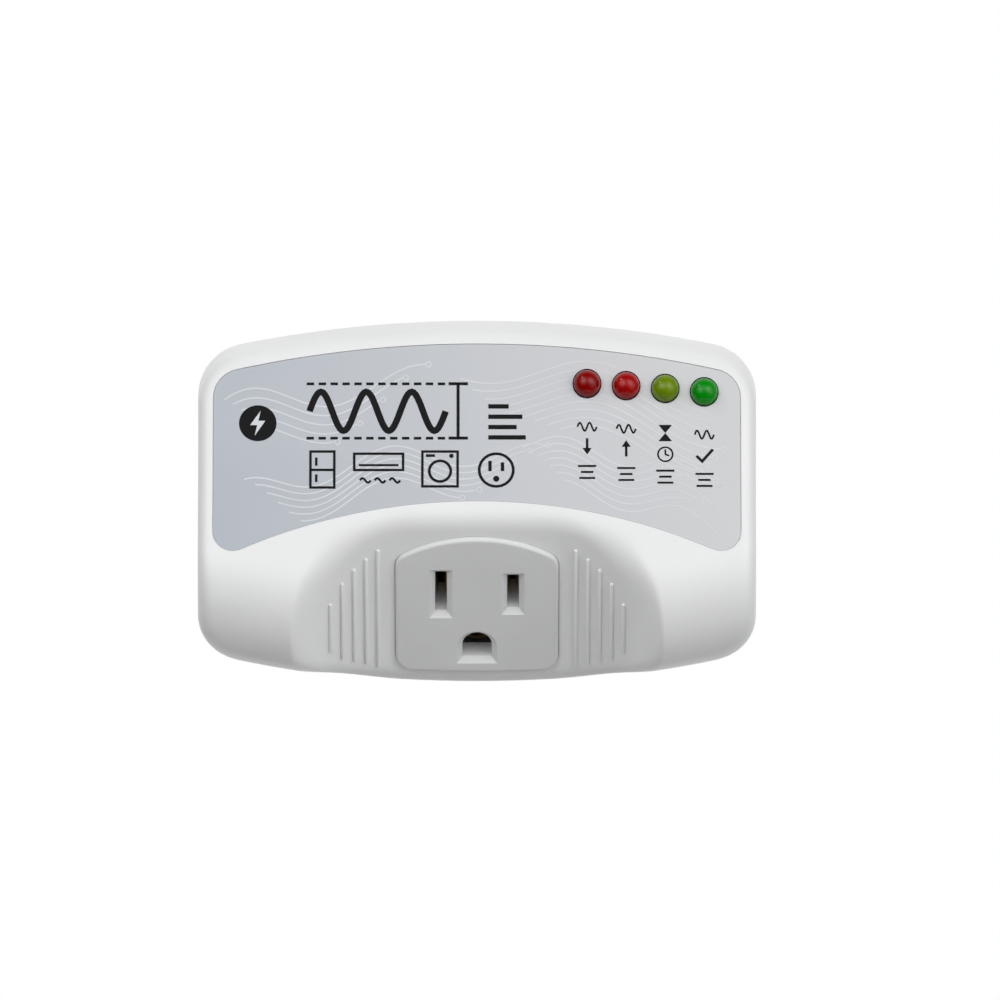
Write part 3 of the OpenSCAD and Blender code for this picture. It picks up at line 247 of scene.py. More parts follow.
class Value:
    """An output of a shader node. A formula written with it adds one Math node a sign."""
    def __init__(self, link):
        self.link = link

    def maths(self, operation, a, b=None, clamp=False):
        """One Math node with numbers or values as its inputs."""
        node = self.link.id_data.nodes.new("ShaderNodeMath")
        node.operation, node.use_clamp = operation, clamp
        for slot, value in zip(node.inputs, (a, b)):
            plug(value, slot)
        return Value(node.outputs[0])

    __add__, __sub__, __mul__ = sign("ADD"), sign("SUBTRACT"), sign("MULTIPLY")
    __radd__, __rsub__, __rmul__ = __add__, sign("SUBTRACT", True), __mul__
    __truediv__, __pow__, __abs__ = sign("DIVIDE"), sign("POWER"), sign("ABSOLUTE")
    __gt__, __lt__, sin = sign("GREATER_THAN"), sign("LESS_THAN"), sign("SINE")
    least, most = sign("MINIMUM"), sign("MAXIMUM")

    def between(self, low, high):
        """0 below low, 1 above high, and a straight climb in between."""
        return self.maths("ADD", (self - low)/(high - low), 0.0, clamp=True)

def plug(value, slot):
    """Links a Value to a socket, or sets the socket to a number or a colour."""
    if isinstance(value, Value):
        slot.id_data.links.new(value.link, slot)
    elif value is not None:
        if slot.type == "RGBA" and len(value) == 3:
            value = (*value, 1.0)
        slot.default_value = value

class Tree:
    """The nodes of one material or of the sky."""
    def __init__(self, owner):
        owner.use_nodes = True
        self.tree = owner.node_tree
        self.tree.nodes.clear()

    def node(self, kind, out=0, **inputs):
        """One node of a type, with values or links for some of its inputs."""
        node = self.tree.nodes.new("ShaderNode" + kind)
        for name, value in inputs.items():
            plug(value, node.inputs[name])
        return Value(node.outputs[out])

    def split(self, vector):
        """The three parts of a vector as separate values."""
        node = self.tree.nodes.new("ShaderNodeSeparateXYZ")
        plug(vector, node.inputs[0])
        return [Value(part) for part in node.outputs]

    def mix(self, a, b, factor):
        """Colour a where the factor is 0 and colour b where it is 1."""
        node = self.tree.nodes.new("ShaderNodeMix")
        node.data_type = "RGBA"
        for index, value in ((0, factor), (6, a), (7, b)):
            plug(value, node.inputs[index])
        return Value(node.outputs[2])

# %% Sky and floor
scene.world = bpy.data.worlds.new("studio")
sky = Tree(scene.world)
east, north, rise = sky.split(sky.node("TexCoord"))
dimmest, back_glow = 0.03, 1.1
patches = ((2.9, (0.5, -0.7, 0.5), 12), (3.4, (-0.5, -0.7, 0.5), 12), (1.05, (0.8, -0.5, 0.1), 8))

def lobe(x, y, z, power):
    """Soft bright patch of the sky: cos(angle from a direction) to a power."""
    r = math.hypot(x, y, z)
    return (east*(x/r) + north*(y/r) + rise*(z/r)).most(0.0)**power

level = dimmest + back_glow*north.most(0.0)
for strength, towards, power in patches:
    level = level + strength*lobe(*towards, power)
seen = sky.node("LightPath")
lit, white = [sky.node("Background", Color=(1, 1, 1), Strength=value) for value in (level, 1.0)]
both = sky.tree.nodes.new("ShaderNodeMixShader")
for slot, value in zip(both.inputs, (seen, lit, white)):
    plug(value, slot)
last = sky.tree.nodes.new("ShaderNodeOutputWorld")
sky.tree.links.new(both.outputs[0], last.inputs[0])
scene.view_settings.view_transform = "Standard"

floor_r, floor_top, floor_foot = 900.0, -900.0, -901.0
disc = turned([(axis_r/10, floor_foot), (floor_r, floor_foot), (floor_r, floor_top),
               (axis_r/10, floor_top)], 64)
floor = piece("floor", disc.at(lambda p: p*MM), body=None)

def lamp_panel(name, place, towards, size, power):
    """A soft square light of a size in metres that points from its place towards another."""
    light = bpy.data.lights.new(name, "AREA")
    light.size, light.energy = size, power
    obj = bpy.data.objects.new(name, light)
    aim = np.array(towards, float) - np.array(place, float)
    obj.location = place
    obj.rotation_euler = (math.atan2(math.hypot(aim[0], aim[1]), -aim[2]), 0,
                          math.atan2(-aim[0], aim[1]))
    scene.collection.objects.link(obj)

box_middle = (0, -0.02, 0)
lamp_panel("key", (-0.62, -0.26, 0.88), box_middle, size=0.16, power=0.9)
lamp_panel("fill", (1.0, -0.6, 0.25), box_middle, size=1.0, power=0.38)
print("sky, floor and two soft lights")

# %% [markdown]
# ## Plastics and metals
# A moulded wall is never quite even: the tool leaves a fine grain, and dust dulls it in
# patches. Each finish is one function whose numbers are the grain's size and depth in
# millimetres. Only what changes over the surface is fed by nodes.

# %% Finishes
class Finish(Tree):
    """A material on one Principled shader, whose even values are set on its own sockets."""
    def __init__(self, name, **even):
        self.material = bpy.data.materials.new(name)
        super().__init__(self.material)
        self.shader = self.tree.nodes.new("ShaderNodeBsdfPrincipled")
        last = self.tree.nodes.new("ShaderNodeOutputMaterial")
        self.tree.links.new(self.shader.outputs[0], last.inputs[0])
        self.feed(**even)
        self.place = self.node("TexCoord", out=3)

    def feed(self, **values):
        """Sets or links inputs of the shader, named with underscores for spaces."""
        for key, value in values.items():
            plug(value, self.shader.inputs[key.replace("_", " ")])

    def noise(self, size, detail=3.0, stretch=None):
        """Noise on the object's own coordinates, with bumps of about this size in mm."""
        place = self.node("Mapping", Vector=self.place, Scale=stretch) if stretch else self.place
        return self.node("TexNoise", Vector=place, Scale=1.0/(size*MM), Detail=detail,
                         Roughness=0.55)

    def bump(self, height, depth):
        """Normal of a surface that rises by depth millimetres where height is 1."""
        self.feed(Normal=self.node("Bump", Height=height, Strength=1.0, Distance=depth*MM))

def moulded(name, colour, rough=0.38, grain=0.35, depth=0.006, mottle=0.035, gloss=0.45):
    """Moulded plastic: patches that are darker by 3*mottle, a roughness that drifts by a
    tenth, and a fine grain."""
    f = Finish(name, Specular_IOR_Level=gloss)
    drift = f.noise(14.0)
    fine = f.noise(grain, 2.0)
    darker = tuple(c*(1 - 3*mottle) for c in colour)
    f.feed(Base_Color=f.mix(colour, darker, drift.between(0.35, 0.8)),
           Roughness=rough - 0.05 + 0.1*drift + 0.05*fine)
    f.bump(fine, depth)
    return f.material

def metal(name, colour, tarnish, rough=0.28, streak=(1, 1, 8)):
    """Stamped metal: long fine streaks in the roughness and a darker tarnish in patches."""
    f = Finish(name, Metallic=1.0)
    streaks = f.noise(0.5, 3.0, stretch=streak)
    patch = f.noise(4.0)
    f.feed(Base_Color=f.mix(colour, tarnish, patch.between(0.5, 0.78)*0.6),
           Roughness=rough + 0.16*streaks + 0.12*patch)
    f.bump(streaks, 0.004)
    return f.material

# %% The finishes of the box
housing_white = moulded("housing_white", (0.86, 0.865, 0.87), rough=0.36, grain=0.45,
                        depth=0.004, mottle=0.008)
housing_back = moulded("housing_back", (0.84, 0.845, 0.85), rough=0.5, grain=0.3,
                       depth=0.012, mottle=0.01)
face_plastic = moulded("face_plastic", (0.74, 0.745, 0.75), rough=0.4, grain=0.4,
                       depth=0.004, mottle=0.01)
base_plastic = moulded("base_plastic", (0.05, 0.05, 0.055), rough=0.5)
component_black = moulded("component_black", (0.022, 0.022, 0.024), rough=0.55, grain=0.2)
blade_brass = metal("blade_brass", (0.86, 0.72, 0.42), (0.62, 0.44, 0.2), streak=(1, 6, 1))
contact_brass = metal("contact_brass", (0.78, 0.6, 0.32), (0.5, 0.34, 0.16))
plated_steel = metal("plated_steel", (0.68, 0.69, 0.7), (0.45, 0.45, 0.46))
screw_steel = metal("screw_steel", (0.72, 0.72, 0.7), (0.5, 0.47, 0.4), rough=0.22)
studio_grey = moulded("studio_grey", (0.7, 0.7, 0.7), rough=0.7, grain=5.0, mottle=0.01)
floor.data.materials.append(studio_grey)
print("materials:", len(bpy.data.materials))

# %% [markdown]
# ## The front cover
# The cover is one moulding. Its front is a surface of two parameters, x and the share of
# the height, with the solid's own formula: the soft minimum of the label plane with its
# round belly and of the scoop, less the rounding at the edge. The inside follows at one
# wall's depth. The label's pocket, the lamp holes and the socket's opening are cut out.

# %% The front surface as a formula
def top_at(x, inset=0.0):
    """Highest point of the outline at a station: the long arc, or the corner's circle."""
    past = np.abs(x)*(edge_arc_r - corner_r) > corner_x*(edge_arc_r - inset)
    reach = np.sqrt(np.maximum((corner_r - inset)**2 - (np.abs(x) - corner_x)**2, 0))
    return np.where(past, corner_top + reach, top_centre + np.sqrt((edge_arc_r - inset)**2 - x*x))

def smooth_step(share):
    """3 s^2 - 2 s^3, held at 0 and 1 outside: it starts and ends without a kink."""
    share = np.clip(share, 0, 1)
    return share**2*(3 - 2*share)

def bulge(x):
    """How far the foot bulges down below the socket, nothing from bulge_edge outwards."""
    return foot_bulge*smooth_step((bulge_edge - np.abs(x)/half_w)/bulge_fall)

def bottom_at(x, inset=0.0):
    """Lowest point of the outline: the top's mirror image, lower by the bulge."""
    return top_up + bottom_up - top_at(x, inset) - bulge(x)

def edge_gap(x, up):
    """Distance of a point from the outline, measured inwards."""
    ax, above, below = np.abs(x), up - top_centre, bottom_centre - up
    arcs = np.minimum(edge_arc_r - np.hypot(x, above), edge_arc_r + bulge(x) - np.hypot(x, below))
    gap = np.minimum(half_w - ax, arcs)
    for rise in (above, below):
        in_corner = (rise > corner_rise) & (ax*corner_rise > corner_x*rise)
        gap = np.where(in_corner, corner_r - np.hypot(ax - corner_x, rise - corner_rise), gap)
    return gap

def belly_out(x, up, inset):
    """The label plane, which turns down in a circle of the belly's radius near the foot."""
    centre_up = bottom_up + edge_arc_r - np.sqrt(edge_arc_r**2 - x*x) + belly_r
    r, rise = belly_r - inset, up - centre_up
    round_out = label_out(centre_up, belly_r) + np.sqrt(np.maximum(r*r - rise*rise, 0))
    return np.where(rise > r*math.sin(label_tilt), label_out(up, inset), round_out)

def scoop_rise(x, inset=0.0):
    """Rise of the scoop over its flat floor: nothing inside the flat, then a quarter circle."""
    r = scoop_r + inset
    over = np.clip(np.abs(x) - scoop_flat, 0, r)
    return r - np.sqrt(r*r - over*over)

def scoop_out(x, up, inset):
    """The socket plane, which leans back below the ridge, lifted by the scoop's rise."""
    floor_out = label_out(ridge_up) - (ridge_up - up)*math.tan(socket_tilt)
    return floor_out + (scoop_rise(x, inset) - inset)/math.cos(socket_tilt)

def surface_out(x, up, inset=0.0):
    """Soft minimum: the lower of the two, less (k - gap)^2/4k where their gap is under k."""
    to_flank = smooth_step((np.abs(x)/half_w - flank_from)/(flank_to - flank_from))
    k = ridge_blend + (flank_blend - ridge_blend)*to_flank
    a, b = belly_out(x, up, inset), scoop_out(x, up, inset)
    return np.minimum(a, b) - np.maximum(k - np.abs(a - b), 0)**2/(4*k)

def front_out(x, up):
    """The surface, less the fall of a quarter circle towards the outline."""
    gap = np.clip(edge_gap(x, up) - draft, 0, edge_r)
    return surface_out(x, up) - edge_r + np.sqrt(edge_r**2 - (edge_r - gap)**2)

def stations(inset, counts):
    """Stations from side to side, closer where the scoop's walls and the corners bend."""
    ends = (0, scoop_flat + 0.3*scoop_r, scoop_flat + scoop_r, corner_x)
    parts = [np.linspace(a, b, n, endpoint=False) for a, b, n in zip(ends, ends[1:], counts)]
    corner = corner_x + (corner_r - inset)*np.sin(np.linspace(0, np.pi/2, counts[3]))
    half = np.concatenate([*parts, corner])
    return np.concatenate([-half[:0:-1], half])

def rows(count, steps=10):
    """Rows of the grid, as a share of the height and a shift from there, closer at both
    edges."""
    fall = edge_r*(1 - np.cos(np.linspace(0, np.pi/2, steps)))
    share = np.linspace(0, 1, count)[1:-1]
    return np.concatenate([np.stack([0*fall, fall], -1),
                           np.stack([share, edge_r*(1 - 2*share)], -1),
                           np.stack([0*fall + 1, -fall[::-1]], -1)])

# %% The front cover as a thin-walled form
def sheet(x, row, inset, front):
    """Grid of points (x, up, front) with each row's height between the foot and the top."""
    low, high = bottom_at(x, inset), top_at(x, inset)
    up = low[:, None] + (high - low)[:, None]*row[:, 0] + row[:, 1]
    across = np.broadcast_to(x[:, None], up.shape)
    return np.stack([across, up, front(across, up)], -1)

station_counts, row_count, inner_shift = (36, 60, 18, 14), 112, 0.4
x_front = stations(draft, station_counts)
row_front = rows(row_count)
outside = sheet(x_front, row_front, draft, front_out)
x_in = x_front*(half_w - wall_t - draft)/(half_w - draft)
row_in = row_front*[1, inner_shift]
inside = sheet(x_in, row_in, wall_t + draft, lambda x, up: surface_out(x, up, wall_t))

# Numbers of the grid's outer points in order, counter-clockwise
nu, nv = outside.shape[:2]
i, j = np.arange(nu), np.arange(nv)
rim = np.concatenate([i*nv, (nu - 1)*nv + j[1:], i[-2::-1]*nv + nv - 1, j[-2:0:-1]])

def foot_ring(x, row, inset, spread):
    """Ring in the parting plane below the rim of a grid, widened by the draft."""
    ring = sheet(x*spread, row, inset, lambda a, b: a*0 + parting_out)
    return ring.reshape(-1, 3)[rim]

# Points: the outside, the inside, then the outer and the inner ring in the parting plane
outer_foot = foot_ring(x_front, row_front, 0.0, half_w/(half_w - draft))
inner_foot = foot_ring(x_in, row_in, wall_t, (half_w - wall_t)/(half_w - wall_t - draft))
n, m = nu*nv, len(rim)
a, b = rim, np.roll(rim, -1)
c, d = 2*n + np.arange(m), 2*n + (np.arange(m) + 1) % m
cells = grid_faces(nu, nv)
cover_form = Form(
    np.vstack([outside.reshape(-1, 3), inside.reshape(-1, 3), outer_foot, inner_foot]),
    np.vstack([cells, cells[:, ::-1] + n, np.stack([c, d, b, a], -1),
               np.stack([c + m, a + n, b + n, d + m], -1), np.stack([d, c, c + m, d + m], -1)]))

# %% Outlines with a curved top and foot
def arc(centre, r, start, end, steps=20):
    """Points centre + r*(cos a, sin a) for even angles a from start to end, in degrees."""
    a = np.radians(np.linspace(start, end, steps + 1))
    return np.array(centre) + r*np.stack([np.cos(a), np.sin(a)], -1)

def circle(centre, r, steps):
    """A whole circle of points, without the last one."""
    return arc(centre, r, 0, 360, steps)[:-1]

def panel(inset, half, top, foot, top_r, foot_r, top_corner, foot_corner):
    """Outline with a curved top, a foot that arches up, or down where its radius is negative,
    and round corners: counter-clockwise from the foot's middle, moved in by the inset."""
    half, top, foot = half - inset, top - inset, foot + inset
    top_r, foot_r = top_r - inset, foot_r + inset
    top_corner, foot_corner = top_corner - inset, foot_corner - inset
    side = math.copysign(1, foot_r)
    top_c, foot_c = np.array([0, top - top_r]), np.array([0, foot - foot_r])
    top_x, foot_x = half - top_corner, half - foot_corner
    top_p = top_c + [top_x, math.sqrt((top_r - top_corner)**2 - top_x**2)]
    foot_p = foot_c + [foot_x, side*math.sqrt((foot_r + foot_corner)**2 - foot_x**2)]
    heading = lambda way: math.degrees(math.atan2(way[1], way[0]))
    foot_end, top_end = heading(foot_p - foot_c), heading(top_p - top_c)
    right = np.vstack([
        arc(foot_c, abs(foot_r), side*90, foot_end)[:-1],
        arc(foot_p, foot_corner, heading(side*(foot_c - foot_p)), 0),
        arc(top_p, top_corner, 0, top_end), arc(top_c, top_r, top_end, 90)[1:]])
    return np.vstack([right, right[-2:0:-1]*[-1, 1]])

label_w, label_h, label_drop, label_top_r, label_foot_r = 92.8, 28.8, 2.85, 192, 102
label_top_corner, label_foot_corner, face_top_r, face_corner = 5.2, 3.5, 25.3, 3.2
label_sizes = (label_w/2, -label_drop, -label_drop - label_h,
               label_top_r, label_foot_r, label_top_corner, label_foot_corner)
face_sizes = (face_w/2, face_h/2, -face_h/2, face_top_r, -edge_arc_r, face_corner, face_corner)
box_sizes = (half_w, top_up, bottom_up, edge_arc_r, -edge_arc_r, corner_r, corner_r)

# %% Cut the pocket, the lamp holes and the socket's opening
lamp_r, lamp_l, lamp_stand, pocket_t, label_t, snug = 2.5, 8.6, 2.3, 0.4, 0.25, 0.1
lamp_first, lamp_pitch, lamp_drop, lamp_arc_r = 19.4, 6.88, 9, 437.0
lamp_x = lamp_first + lamp_pitch*np.arange(4)
lamp_up = top_up - lamp_drop - lamp_arc_r + np.sqrt(lamp_arc_r**2 - lamp_x**2)
lamp_base = label_out(lamp_up) + lamp_stand - lamp_l

def bars_at(outline, places, low, high):
    """The same outline extruded at several places, between two distances from the wall."""
    return gather([prism(outline + place, low, high) for place in places])

lamp_holes = bars_at(circle((0, 0), lamp_r + snug/2, 48), zip(lamp_x, lamp_up), 13, 60)
cover = piece("cover_shell", cover_form.at(wall), housing_white)
carve(cover, prism(panel(-snug, *label_sizes), -pocket_t, 4).at(label_plane))
carve(cover, lamp_holes.at(wall) + prism(panel(-snug, *face_sizes), -12, 14).at(socket))
measure(cover)

# %% [markdown]
# ## The grip ribs
# Five thin ribs stand on each side of the socket. Each is a straight round bar, half sunk
# in the scoop, with half a ball at either end.

# %% Ribs
rib_r, rib_h, rib_first, rib_pitch = 0.33, 0.6, 17.4, 2.1
rib_tops = np.array([0.43, 0.38, 0.326, 0.253, 0.14])*face_h
rib_feet = np.array([-0.46, -0.417, -0.37, -0.32, -0.227])*face_h

def rib_form(x, low, high):
    """Capsule: rings of radius r cos t about the bar's axis, pushed out by r sin t at each end."""
    t = np.linspace(-np.pi/2, np.pi/2, 14)[1:-1]
    along = np.where(t < 0, low, high) + rib_r*np.sin(t)
    a, r = full_turn(20), rib_r*np.cos(t)[:, None]
    out = scoop_rise(x) + rib_h - rib_r + r*np.cos(a)
    return loft(np.stack([r*np.sin(a) + x, along[:, None] + 0*a, out], -1))

ribs = [rib_form(side*(rib_first + rib_pitch*i), rib_feet[i] + rib_r, rib_tops[i] - rib_r)
        for i in range(5) for side in (-1, 1)]
grip = piece("grip_ribs", gather(ribs).at(socket), housing_white)
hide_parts("front_cover")
measure(grip)

# %% [markdown]
# ## The socket face
# The plate stands one millimetre proud with a rolled edge. Each slot has a bevelled mouth
# that leads the blade in, and the grounding hole is round above and square below.

# %% Socket face
neutral_h, line_h, slot_w, bevel, hole_r = 8.7, 7.2, 2.1, 1.0, 2.6
face_back, liner_back, liner_t, seam, roll = -3.8, -8.2, 0.2, 0.02, 0.6
rings = [lifted(panel(0, *face_sizes), face_back)]
rings += [lifted(panel(roll*(1 - math.cos(t)), *face_sizes), face_proud - roll + roll*math.sin(t))
          for t in np.linspace(0, np.pi/2, 8)]
plate = piece("socket_plate", loft(rings).at(socket), face_plastic)

def box_ring(w, h):
    """Rectangle about the origin."""
    return np.array([[-w, -h], [w, -h], [w, h], [-w, h]])/2

def hole_ring(r):
    """Half a circle above and half a square below."""
    return np.vstack([[[-r, -r], [r, -r]], arc((0, 0), r, 0, 180, 32)])

def mouth(outline, place):
    """Cutter for an opening: straight through, then wider towards the front by the bevel."""
    stages = ((0, face_back - 1), (0, face_proud - bevel), (bevel, face_proud),
              (bevel, face_proud + 1))
    return loft([lifted(outline(wider) + place, z) for wider, z in stages])

def slot_liner(w, h, x):
    """Four thin bars that wall in a slot behind the plate, with its inner size and middle."""
    t, up, side = liner_t, (h + liner_t)/2, (w + liner_t)/2 + seam
    bars = [(w + 2*t, t, 0, up), (w + 2*t, t, 0, -up), (t, h + t, side, 0), (t, h + t, -side, 0)]
    return gather([prism(box_ring(wide, high) + [x + across, slot_rise + rise],
                         liner_back, face_back) for wide, high, across, rise in bars])

slot_sizes = ((neutral_h, -slot_gap/2), (line_h, slot_gap/2))
mouths = [mouth(lambda g: box_ring(slot_w + 2*g, h + 2*g), [x, slot_rise]) for h, x in slot_sizes]
mouths.append(mouth(lambda g: hole_ring(hole_r + g), [0, slot_rise - ground_drop]))
carve(plate, gather(mouths).at(socket))
liners = gather([slot_liner(slot_w, h, x) for h, x in slot_sizes])
piece("slot_liners", liners.at(socket), face_plastic)
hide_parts("receptacle_face")
measure(plate)

# %% [markdown]
# ## The label
# The label is a printed film in a shallow pocket, cool blue-grey on the left and pale grey
# on the right. The prints are thin ribbons of ink laid on it: a generic design of pale
# waves, and small black signs for what each lamp means.

# %% Label film
film_top, lay = label_t - pocket_t, 0.015
f = Finish("label_print", Specular_IOR_Level=0.5)
x, _, z = f.split(f.place)
tone_reach, tone_slant = 46*MM, 0.35
across = (x + tone_slant*z).between(-tone_reach, tone_reach)
grainy = f.noise(0.25, 2.0)
tone = f.mix((0.45, 0.488, 0.543), (0.635, 0.64, 0.655), across)
f.feed(Base_Color=f.mix(tone, (0.72, 0.73, 0.75), f.noise(30.0).between(0.45, 0.8)*0.12),
       Roughness=0.42 + 0.08*grainy)
f.bump(grainy, 0.002)
film = piece("label_sheet", prism(panel(0, *label_sizes), -pocket_t, film_top).at(label_plane),
             f.material)
carve(film, lamp_holes.at(wall))
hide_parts("label")
measure(film)

# %% Ink ribbons
wave_z, ink_z = film_top + lay, film_top + 2*lay

def ribbon(points, width, z, closed=False):
    """Flat strip of even width along a line: each point moves half a width to either side,
    square to the line there, and further by 1/cos of half the bend at a corner."""
    p = np.asarray(points, float)
    if closed:
        p = np.vstack([p, p[:1]])
    step = np.diff(p, axis=0)
    step /= np.linalg.norm(step, axis=1)[:, None]
    back, ahead = np.vstack([step[:1], step]), np.vstack([step, step[-1:]])
    if closed:
        back[0], ahead[-1] = step[-1], step[0]
    mid = back + ahead
    mid /= np.linalg.norm(mid, axis=1)[:, None]
    stretch = 1/np.maximum((mid*ahead).sum(1), 0.5)
    side = np.stack([-mid[:, 1], mid[:, 0]], -1)*stretch[:, None]*width/2
    strip = np.stack([p - side, p + side], 1)
    strip = np.concatenate([strip, np.full(strip.shape[:2] + (1,), z)], -1)
    return Form(strip, grid_faces(*strip.shape[:2])[:, ::-1])

def blot(outline, z=ink_z):
    """Filled flat shape."""
    return Form(lifted(np.asarray(outline, float), z), [list(range(len(outline)))])

# %% [markdown]
# ## Prints
# On the left is a wave held between two limits, over signs of what the box guards. A column
# of small signs stands under each lamp. Pale waves run over the whole film in bundles,
# closer together on the right.

# %% Waves over the film
def on_film(x, share):
    """Point of the film at a station and a share of the way from its top arc to its foot's."""
    top = -label_drop - label_top_r + np.sqrt(label_top_r**2 - x*x)
    foot = -label_drop - label_h - label_foot_r + np.sqrt(label_foot_r**2 - x*x)
    return np.stack([x, top + (foot - top)*share], -1)

wave_w, ring_w, ring_r, wave_step = 0.26, 0.2, 0.45, 0.0004

def wave_line(start, end, share, swing, length, phase):
    """Ribbon along share + swing*sin(2 pi x/length + phase), with a small ring at its end."""
    x = np.linspace(start, end, 90)
    line = on_film(x, share + swing*np.sin(2*np.pi*x/length + phase))
    ring = arc(line[-1] + [ring_r, 0], ring_r, 180, 540, 18)[:-1]
    return ribbon(line, wave_w, wave_z) + ribbon(ring, ring_w, wave_z, closed=True)

waves = [wave_line(-44.5 + 1.5*i, -9 - 4*i, 0.22 + 0.055*i, 0.10, 31, 0.4) for i in range(5)]
waves += [wave_line(-41 + 2*i, 12 - 3*i, 0.70 + 0.04*i, 0.08, 26, 2.1) for i in range(6)]
waves += [wave_line(-3 + 2.2*i, 43 - 1.5*(i % 4), 0.16 + 0.05*i, 0.09, 37, 1.2) for i in range(9)]
waves += [wave_line(8 + 1.2*i, 41.5 - 2.5*(i % 3), 0.62 + 0.045*i, 0.06, 21, 0.2)
          for i in range(7)]
for i, wave in enumerate(waves):
    wave.points[:, 2] += wave_step*i

def clear_of_lamps(form, room=0.4):
    """The faces whose corners all keep clear of the lamps, seen straight from the front."""
    near = np.zeros(len(form.points), bool)
    for x, up in zip(lamp_x, lamp_up):
        near |= np.hypot(form.points[:, 0]/MM - x, form.points[:, 2]/MM - up) < lamp_r + room
    faces = np.array(form.faces)
    used, numbers = np.unique(faces[~near[faces].any(1)], return_inverse=True)
    return Form(form.points[used], numbers.reshape(-1, 4).tolist())

pale_ink = moulded("pale_ink", (0.70, 0.72, 0.75), rough=0.4, grain=0.3, depth=0.001)
measure(piece("print_waves", clear_of_lamps(gather(waves).at(label_plane)), pale_ink,
              smooth=False))

# %% Signs
stroke, thin, arrow_w = 0.45, 0.38, 0.44

def line(points, width=stroke, closed=False):
    return ribbon(points, width, ink_z, closed)

def corners(x, y, w, h):
    return [[x, y], [x + w, y], [x + w, y + h], [x, y + h]]

def frame_sign(x, y, w, h):
    return line(corners(x, y, w, h), closed=True)

def bar(x, y, w, h=stroke):
    return blot(corners(x, y, w, h))

def ring(x, y, r, steps, width=0.5):
    return line(circle((x, y), r, steps), width, closed=True)

def dot(x, y, r, steps):
    return blot(circle((x, y), r, steps))

def swing(x, y, w, h, turns, width):
    """Sine ribbon of some turns with its left end at a point."""
    t = np.linspace(0, 1, 24*turns + 1)
    return line(np.stack([x + w*t, y + h/2*np.sin(2*np.pi*turns*t)], -1), width)

def arrow(x, y, length, up):
    """Straight arrow with a filled head."""
    tip = y + up*length/2
    head = [[x, tip], [x - up*0.8, tip - up*1.2], [x + up*0.8, tip - up*1.2]]
    return bar(x - arrow_w/2, min(y - up*length/2, tip - up), arrow_w, length - 1) + blot(head)

# A wave between two dashed limits, with their distance marked
signs = [swing(-29.5, -15.2, 24, 7.2, 3, 1.15)]
signs += [bar(-30 + 2.1*i, up, 1.3, 0.5) for i in range(12) for up in (-10.4, -20.4)]
signs += [bar(-3.6, -20.4, 0.55, 10.5), bar(-5.0, -10.4, 3.4, 0.55), bar(-5.0, -20.4, 3.4, 0.55)]
# A fridge, a cooler with three puffs of air, a washer, a socket and four bars
signs += [frame_sign(-29.3, -29.2, 4.2, 6.6), bar(-29.3, -26.2, 4.2),
          bar(-28.5, -25.2, 0.45, 1.5), bar(-28.5, -28.2, 0.45, 1.4)]
signs += [frame_sign(-21.6, -26.0, 8.6, 3.0), bar(-20.8, -25.3, 7.0, 0.4)]
signs += [swing(-20.6 + 2.6*i, -27.9, 1.9, 0.8, 1, 0.4) for i in range(3)]
signs += [frame_sign(-9.6, -29.0, 6.2, 6.4), ring(-6.5, -26.2, 1.9, 30),
          bar(-9.0, -23.6, 1.6, 0.5), dot(-4.5, -23.4, 0.4, 14)]
signs += [ring(3.4, -26.0, 3.0, 36), bar(2.0, -26.2, 0.6, 1.9), bar(4.2, -26.2, 0.6, 1.6),
          dot(3.4, -27.6, 0.55, 16)]
signs += [bar(2.0, -20.4 + 1.9*i, w, 0.8) for i, w in enumerate((6.6, 5.0, 6.0, 3.6))]
# Under the lamps: a wave too low, one too high, an hourglass over a clock, a wave ticked off
low, high, wait, normal = [(x, -17.6 - (x/40)**2*1.9) for x in lamp_x]
signs += [swing(x - 1.7, y, 3.4, 1.5, 2, 0.32) for x, y in (low, high, normal)]
signs += [arrow(x, y - 3.6, 3.0, way) for (x, y), way in ((low, -1), (high, 1))]
x, y = wait
signs += [blot([[x - 1.2, y + 1.2], [x, y - 0.3], [x + 1.2, y + 1.2]]),
          blot([[x, y - 0.3], [x - 1.2, y - 1.8], [x + 1.2, y - 1.8]]),
          ring(x, y - 4.2, 1.3, 24, 0.3),
          line([[x, y - 3.3], [x, y - 4.2], [x + 0.7, y - 4.5]], 0.3)]
x, y = normal
signs += [line([[x - 1.4, y - 3.9], [x - 0.4, y - 4.9], [x + 1.5, y - 2.7]], 0.5)]
signs += [bar(x - w/2, y - down, w, thin) for x, y in (low, high, wait, normal)
          for w, down in ((3.2, 7.4), (2.2, 8.5), (2.8, 9.6))]
dark_ink = moulded("dark_ink", (0.008, 0.008, 0.009), rough=0.6, grain=0.3, depth=0.001,
                   gloss=0.12)
measure(piece("print_signs", gather(signs).at(label_plane), dark_ink,
              smooth=False))

# %% Badge: a dark disc with a pale bolt
badge_at, badge_r = (-38.6, -17.4), 3.3
badge = piece("print_badge", dot(*badge_at, badge_r, 60).at(label_plane), dark_ink,
              smooth=False)
bolt = np.array([[0.5, 2.3], [-1.35, -0.35], [-0.1, -0.35], [-0.55, -2.3], [1.35, 0.45],
                 [0.1, 0.45]])
piece("print_bolt", blot(bolt + badge_at, ink_z + lay).at(label_plane), pale_ink,
      smooth=False)
measure(badge)

# %% [markdown]
# ## The lamps
# Each is a cast 5 mm lamp: a tinted dome on a collar, and inside it the bright cup with
# its chip on the one lead, and the hooked post on the other.

